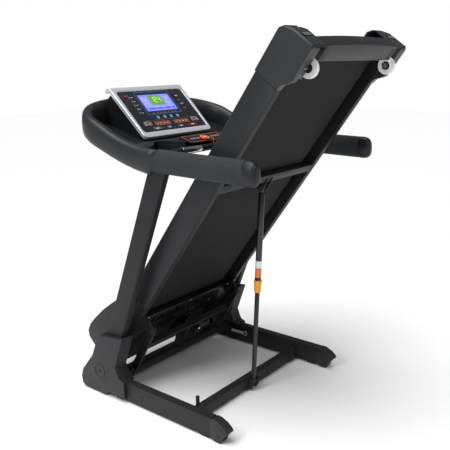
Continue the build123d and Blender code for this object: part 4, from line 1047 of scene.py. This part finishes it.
def make_rear_end():
    """Rear caps, bridge, and the wheels that the open deck stands on."""
    softened("rear_cap_pair", "rear_caps", "cap_plastic", 0.005, 4)
    softened("rear_bridge_moulding", "rear_bridge", "grey_plastic", 0.004, 3)
    for side in ("left", "right"):
        wheel = "deck_wheel_" + side
        softened("deck_roll_wheel_" + side, wheel, "white_plastic", 0.003, 3)
        low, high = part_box(wheel)
        centre = (low + high) / 2
        bm = bmesh.new()
        for x, way in ((low.x, -1), (high.x, 1)):
            button_screw(bm, facing((x, centre.y, centre.z), (way, 0, 0)), HUB_RADIUS, 0.0016)
        finished("deck_wheel_hub_" + side, bm, wheel, "black_plastic")
    make_cap_grilles()


END_FACE = Matrix((
    (1, 0, 0, 0),
    (0, sin(FOLD_TILT), -cos(FOLD_TILT), on_deck(0, DECK_END, 0).y),
    (0, cos(FOLD_TILT), sin(FOLD_TILT), on_deck(0, DECK_END, 0).z),
    (0, 0, 0, 1),
))


GRILLE_RIBS = 9
FIRST_GRILLE_RIB = 0.252
GRILLE_PITCH = 0.0045
WELL_X = 0.219
BOW_SIDE = 0.100


def make_cap_grilles():
    """Crescent recesses with bright ribs on the rear caps, wheel wells, and the bridge's inset strip."""
    bm = bmesh.new()
    lifted = END_FACE @ Matrix.Translation((0, 0, 0.0002))
    proud = END_FACE @ Matrix.Translation((0, 0, 0.0012))
    for side in (-1, 1):
        # a flat black plate where the crescent recess is: painted shade
        plate(bm, lifted, side * 0.270, 0.026, 0.058, 0.017, 0.0008, 0.008, index=0, turn=side * -0.10)
        for i in range(GRILLE_RIBS):
            plate(bm, proud, side * (FIRST_GRILLE_RIB + i * GRILLE_PITCH), 0.026, 0.0016, 0.012, 0.0010,
                  index=1, turn=0.25)
        under = DECK @ Matrix.Translation((0, 0, -0.0282)) @ Matrix.Rotation(pi, 4, "X")
        # a flat black plate where the wheel well is: painted shade
        plate(bm, under, side * WELL_X, -1.474, 0.024, 0.044, 0.0006, 0.0118, index=0)
    bow = END_FACE @ Matrix.Translation((0, 0, 0.0058))
    plate(bm, bow, 0, -0.004, 0.052, 0.021, 0.0006, 0.003, index=2)
    for side in (-1, 1):
        tilt = (bow @ Matrix.Translation((side * BOW_SIDE, 0, -0.0026))
                @ Matrix.Rotation(side * 0.028, 4, "Y"))
        plate(bm, tilt, 0, -0.002, 0.144, 0.008, 0.0012, 0.002, index=2)
    finished("rear_cap_grilles_with_painted_shade", bm, "deck", ["black_plastic", "grey_ink", "cap_plastic"],
             smooth=False)


# start and end up the strut, and which of the two label finishes
STRUT_LABELS = ((0.438, 0.472, 0), (0.474, 0.503, 1))
LABEL_RADIUS = 0.0123
LABEL_SIDES = 32


def make_strut():
    """The gas strut, its release sleeve and two labels wrapped round it."""
    softened("strut_rod", "strut_lower", "gloss_paint", 0.0008)
    softened("strut_barrel", "strut_upper", "gloss_paint", 0.0008)
    softened("release_sleeve", "lock_sleeve", "yellow_plastic", 0.002, 3)
    line = -Vector(joint("strut_slide")["axis"]).normalized()
    foot = Vector(joint("strut_swing")["pos_m"])
    if line.z < 0:
        line = -line
    bm = bmesh.new()
    circle = [2 * pi * i / LABEL_SIDES for i in range(LABEL_SIDES)]
    for start, end, index in STRUT_LABELS:
        turn = facing(foot + line * start, line)
        rings = [[turn @ Vector((LABEL_RADIUS * cos(a), LABEL_RADIUS * sin(a), along)) for a in circle]
                 for along in (0.0, end - start)]
        before = len(bm.faces)
        loft(bm, rings, capped=False)
        bm.faces.ensure_lookup_table()
        for face in bm.faces[before:]:
            face.material_index = index
    finished("strut_labels", bm, "strut_upper", ["orange_ink", "white_ink"])


# ---- operators -------------------------------------------
class TreadmillSettings(bpy.types.PropertyGroup):
    """What a user would change"""

    frame_colour: bpy.props.FloatVectorProperty(
        name="Frame paint", description="Colour of the steel frame", subtype="COLOR",
        default=(0.0135, 0.0140, 0.0155), min=0, max=1)
    plastic_colour: bpy.props.FloatVectorProperty(
        name="Mouldings", description="Colour of the covers, hood and console surround", subtype="COLOR",
        default=(0.0150, 0.0158, 0.0178), min=0, max=1)
    lens: bpy.props.FloatProperty(
        name="Lens", description="Focal length of the camera", default=51.28, subtype="DISTANCE_CAMERA")
    key_power: bpy.props.FloatProperty(
        name="Overhead light", description="Strength of the overhead soft light", default=3.4)
    world_power: bpy.props.FloatProperty(
        name="Room light", description="Brightness of the white studio around the object", default=0.16)


# name, label, maker, and whether the maker reads the settings; its docstring is the description
STEPS = [
    ("finishes", "Finishes", make_finishes, True),
    ("camera", "Camera", make_camera, True),
    ("safety_key", "Safety key", make_safety_key, False),
    ("lights", "Lights", make_lights, True),
    ("floor", "Floor", make_floor, False),
    ("base_frame", "Base frame", make_base_frame, False),
    ("cover_screws", "Cover screws", make_cover_screws, False),
    ("grips", "Grips", make_grips, False),
    ("shell", "Console surround", make_shell, False),
    ("tray", "Console tray", make_tray, False),
    ("console", "Console", make_console, False),
    ("face_print", "Face print", make_face_print, False),
    ("shelf", "Key shelf", make_shelf, False),
    ("pulse_bar", "Pulse bar", make_pulse_bar, False),
    ("deck_frame", "Deck frame", make_deck_frame, False),
    ("foot_rails", "Foot rails", make_foot_rails, False),
    ("hood", "Motor hood", make_hood, False),
    ("belly_pan", "Belly pan", make_belly_pan, False),
    ("rear_end", "Rear end", make_rear_end, False),
    ("strut", "Gas strut", make_strut, False),
]


def step_operator(key, label, maker, wants_settings):
    """An operator that runs one maker."""
    def execute(self, context):
        if wants_settings:
            maker(context.scene.treadmill)
        else:
            maker()
        return {"FINISHED"}

    return type("TREADMILL_OT_" + key, (bpy.types.Operator,), {
        "__doc__": maker.__doc__,
        "bl_idname": "treadmill." + key,
        "bl_label": label,
        "bl_options": {"REGISTER", "UNDO"},
        "execute": execute,
    })


OPERATORS = [step_operator(*step) for step in STEPS]


class TREADMILL_PT_build(bpy.types.Panel):
    """Lists the pieces of the treadmill"""

    bl_label = "Treadmill"
    bl_space_type = "VIEW_3D"
    bl_region_type = "UI"
    bl_category = "Treadmill"

    def draw(self, context):
        for name in TreadmillSettings.__annotations__:
            self.layout.prop(context.scene.treadmill, name)
        for step in STEPS:
            self.layout.operator("treadmill." + step[0])


def register():
    """Adds the settings, operators and panel."""
    bpy.utils.register_class(TreadmillSettings)
    for operator in OPERATORS:
        bpy.utils.register_class(operator)
    bpy.utils.register_class(TREADMILL_PT_build)
    bpy.types.Scene.treadmill = bpy.props.PointerProperty(type=TreadmillSettings)


def unregister():
    """Takes them away again."""
    del bpy.types.Scene.treadmill
    bpy.utils.unregister_class(TREADMILL_PT_build)
    for operator in reversed(OPERATORS):
        bpy.utils.unregister_class(operator)
    bpy.utils.unregister_class(TreadmillSettings)


def main():
    """Builds everything in order, and writes the CAD and visual boxes."""
    register()
    for step in STEPS:
        getattr(bpy.ops.treadmill, step[0])()


if __name__ == "__main__":
    main()
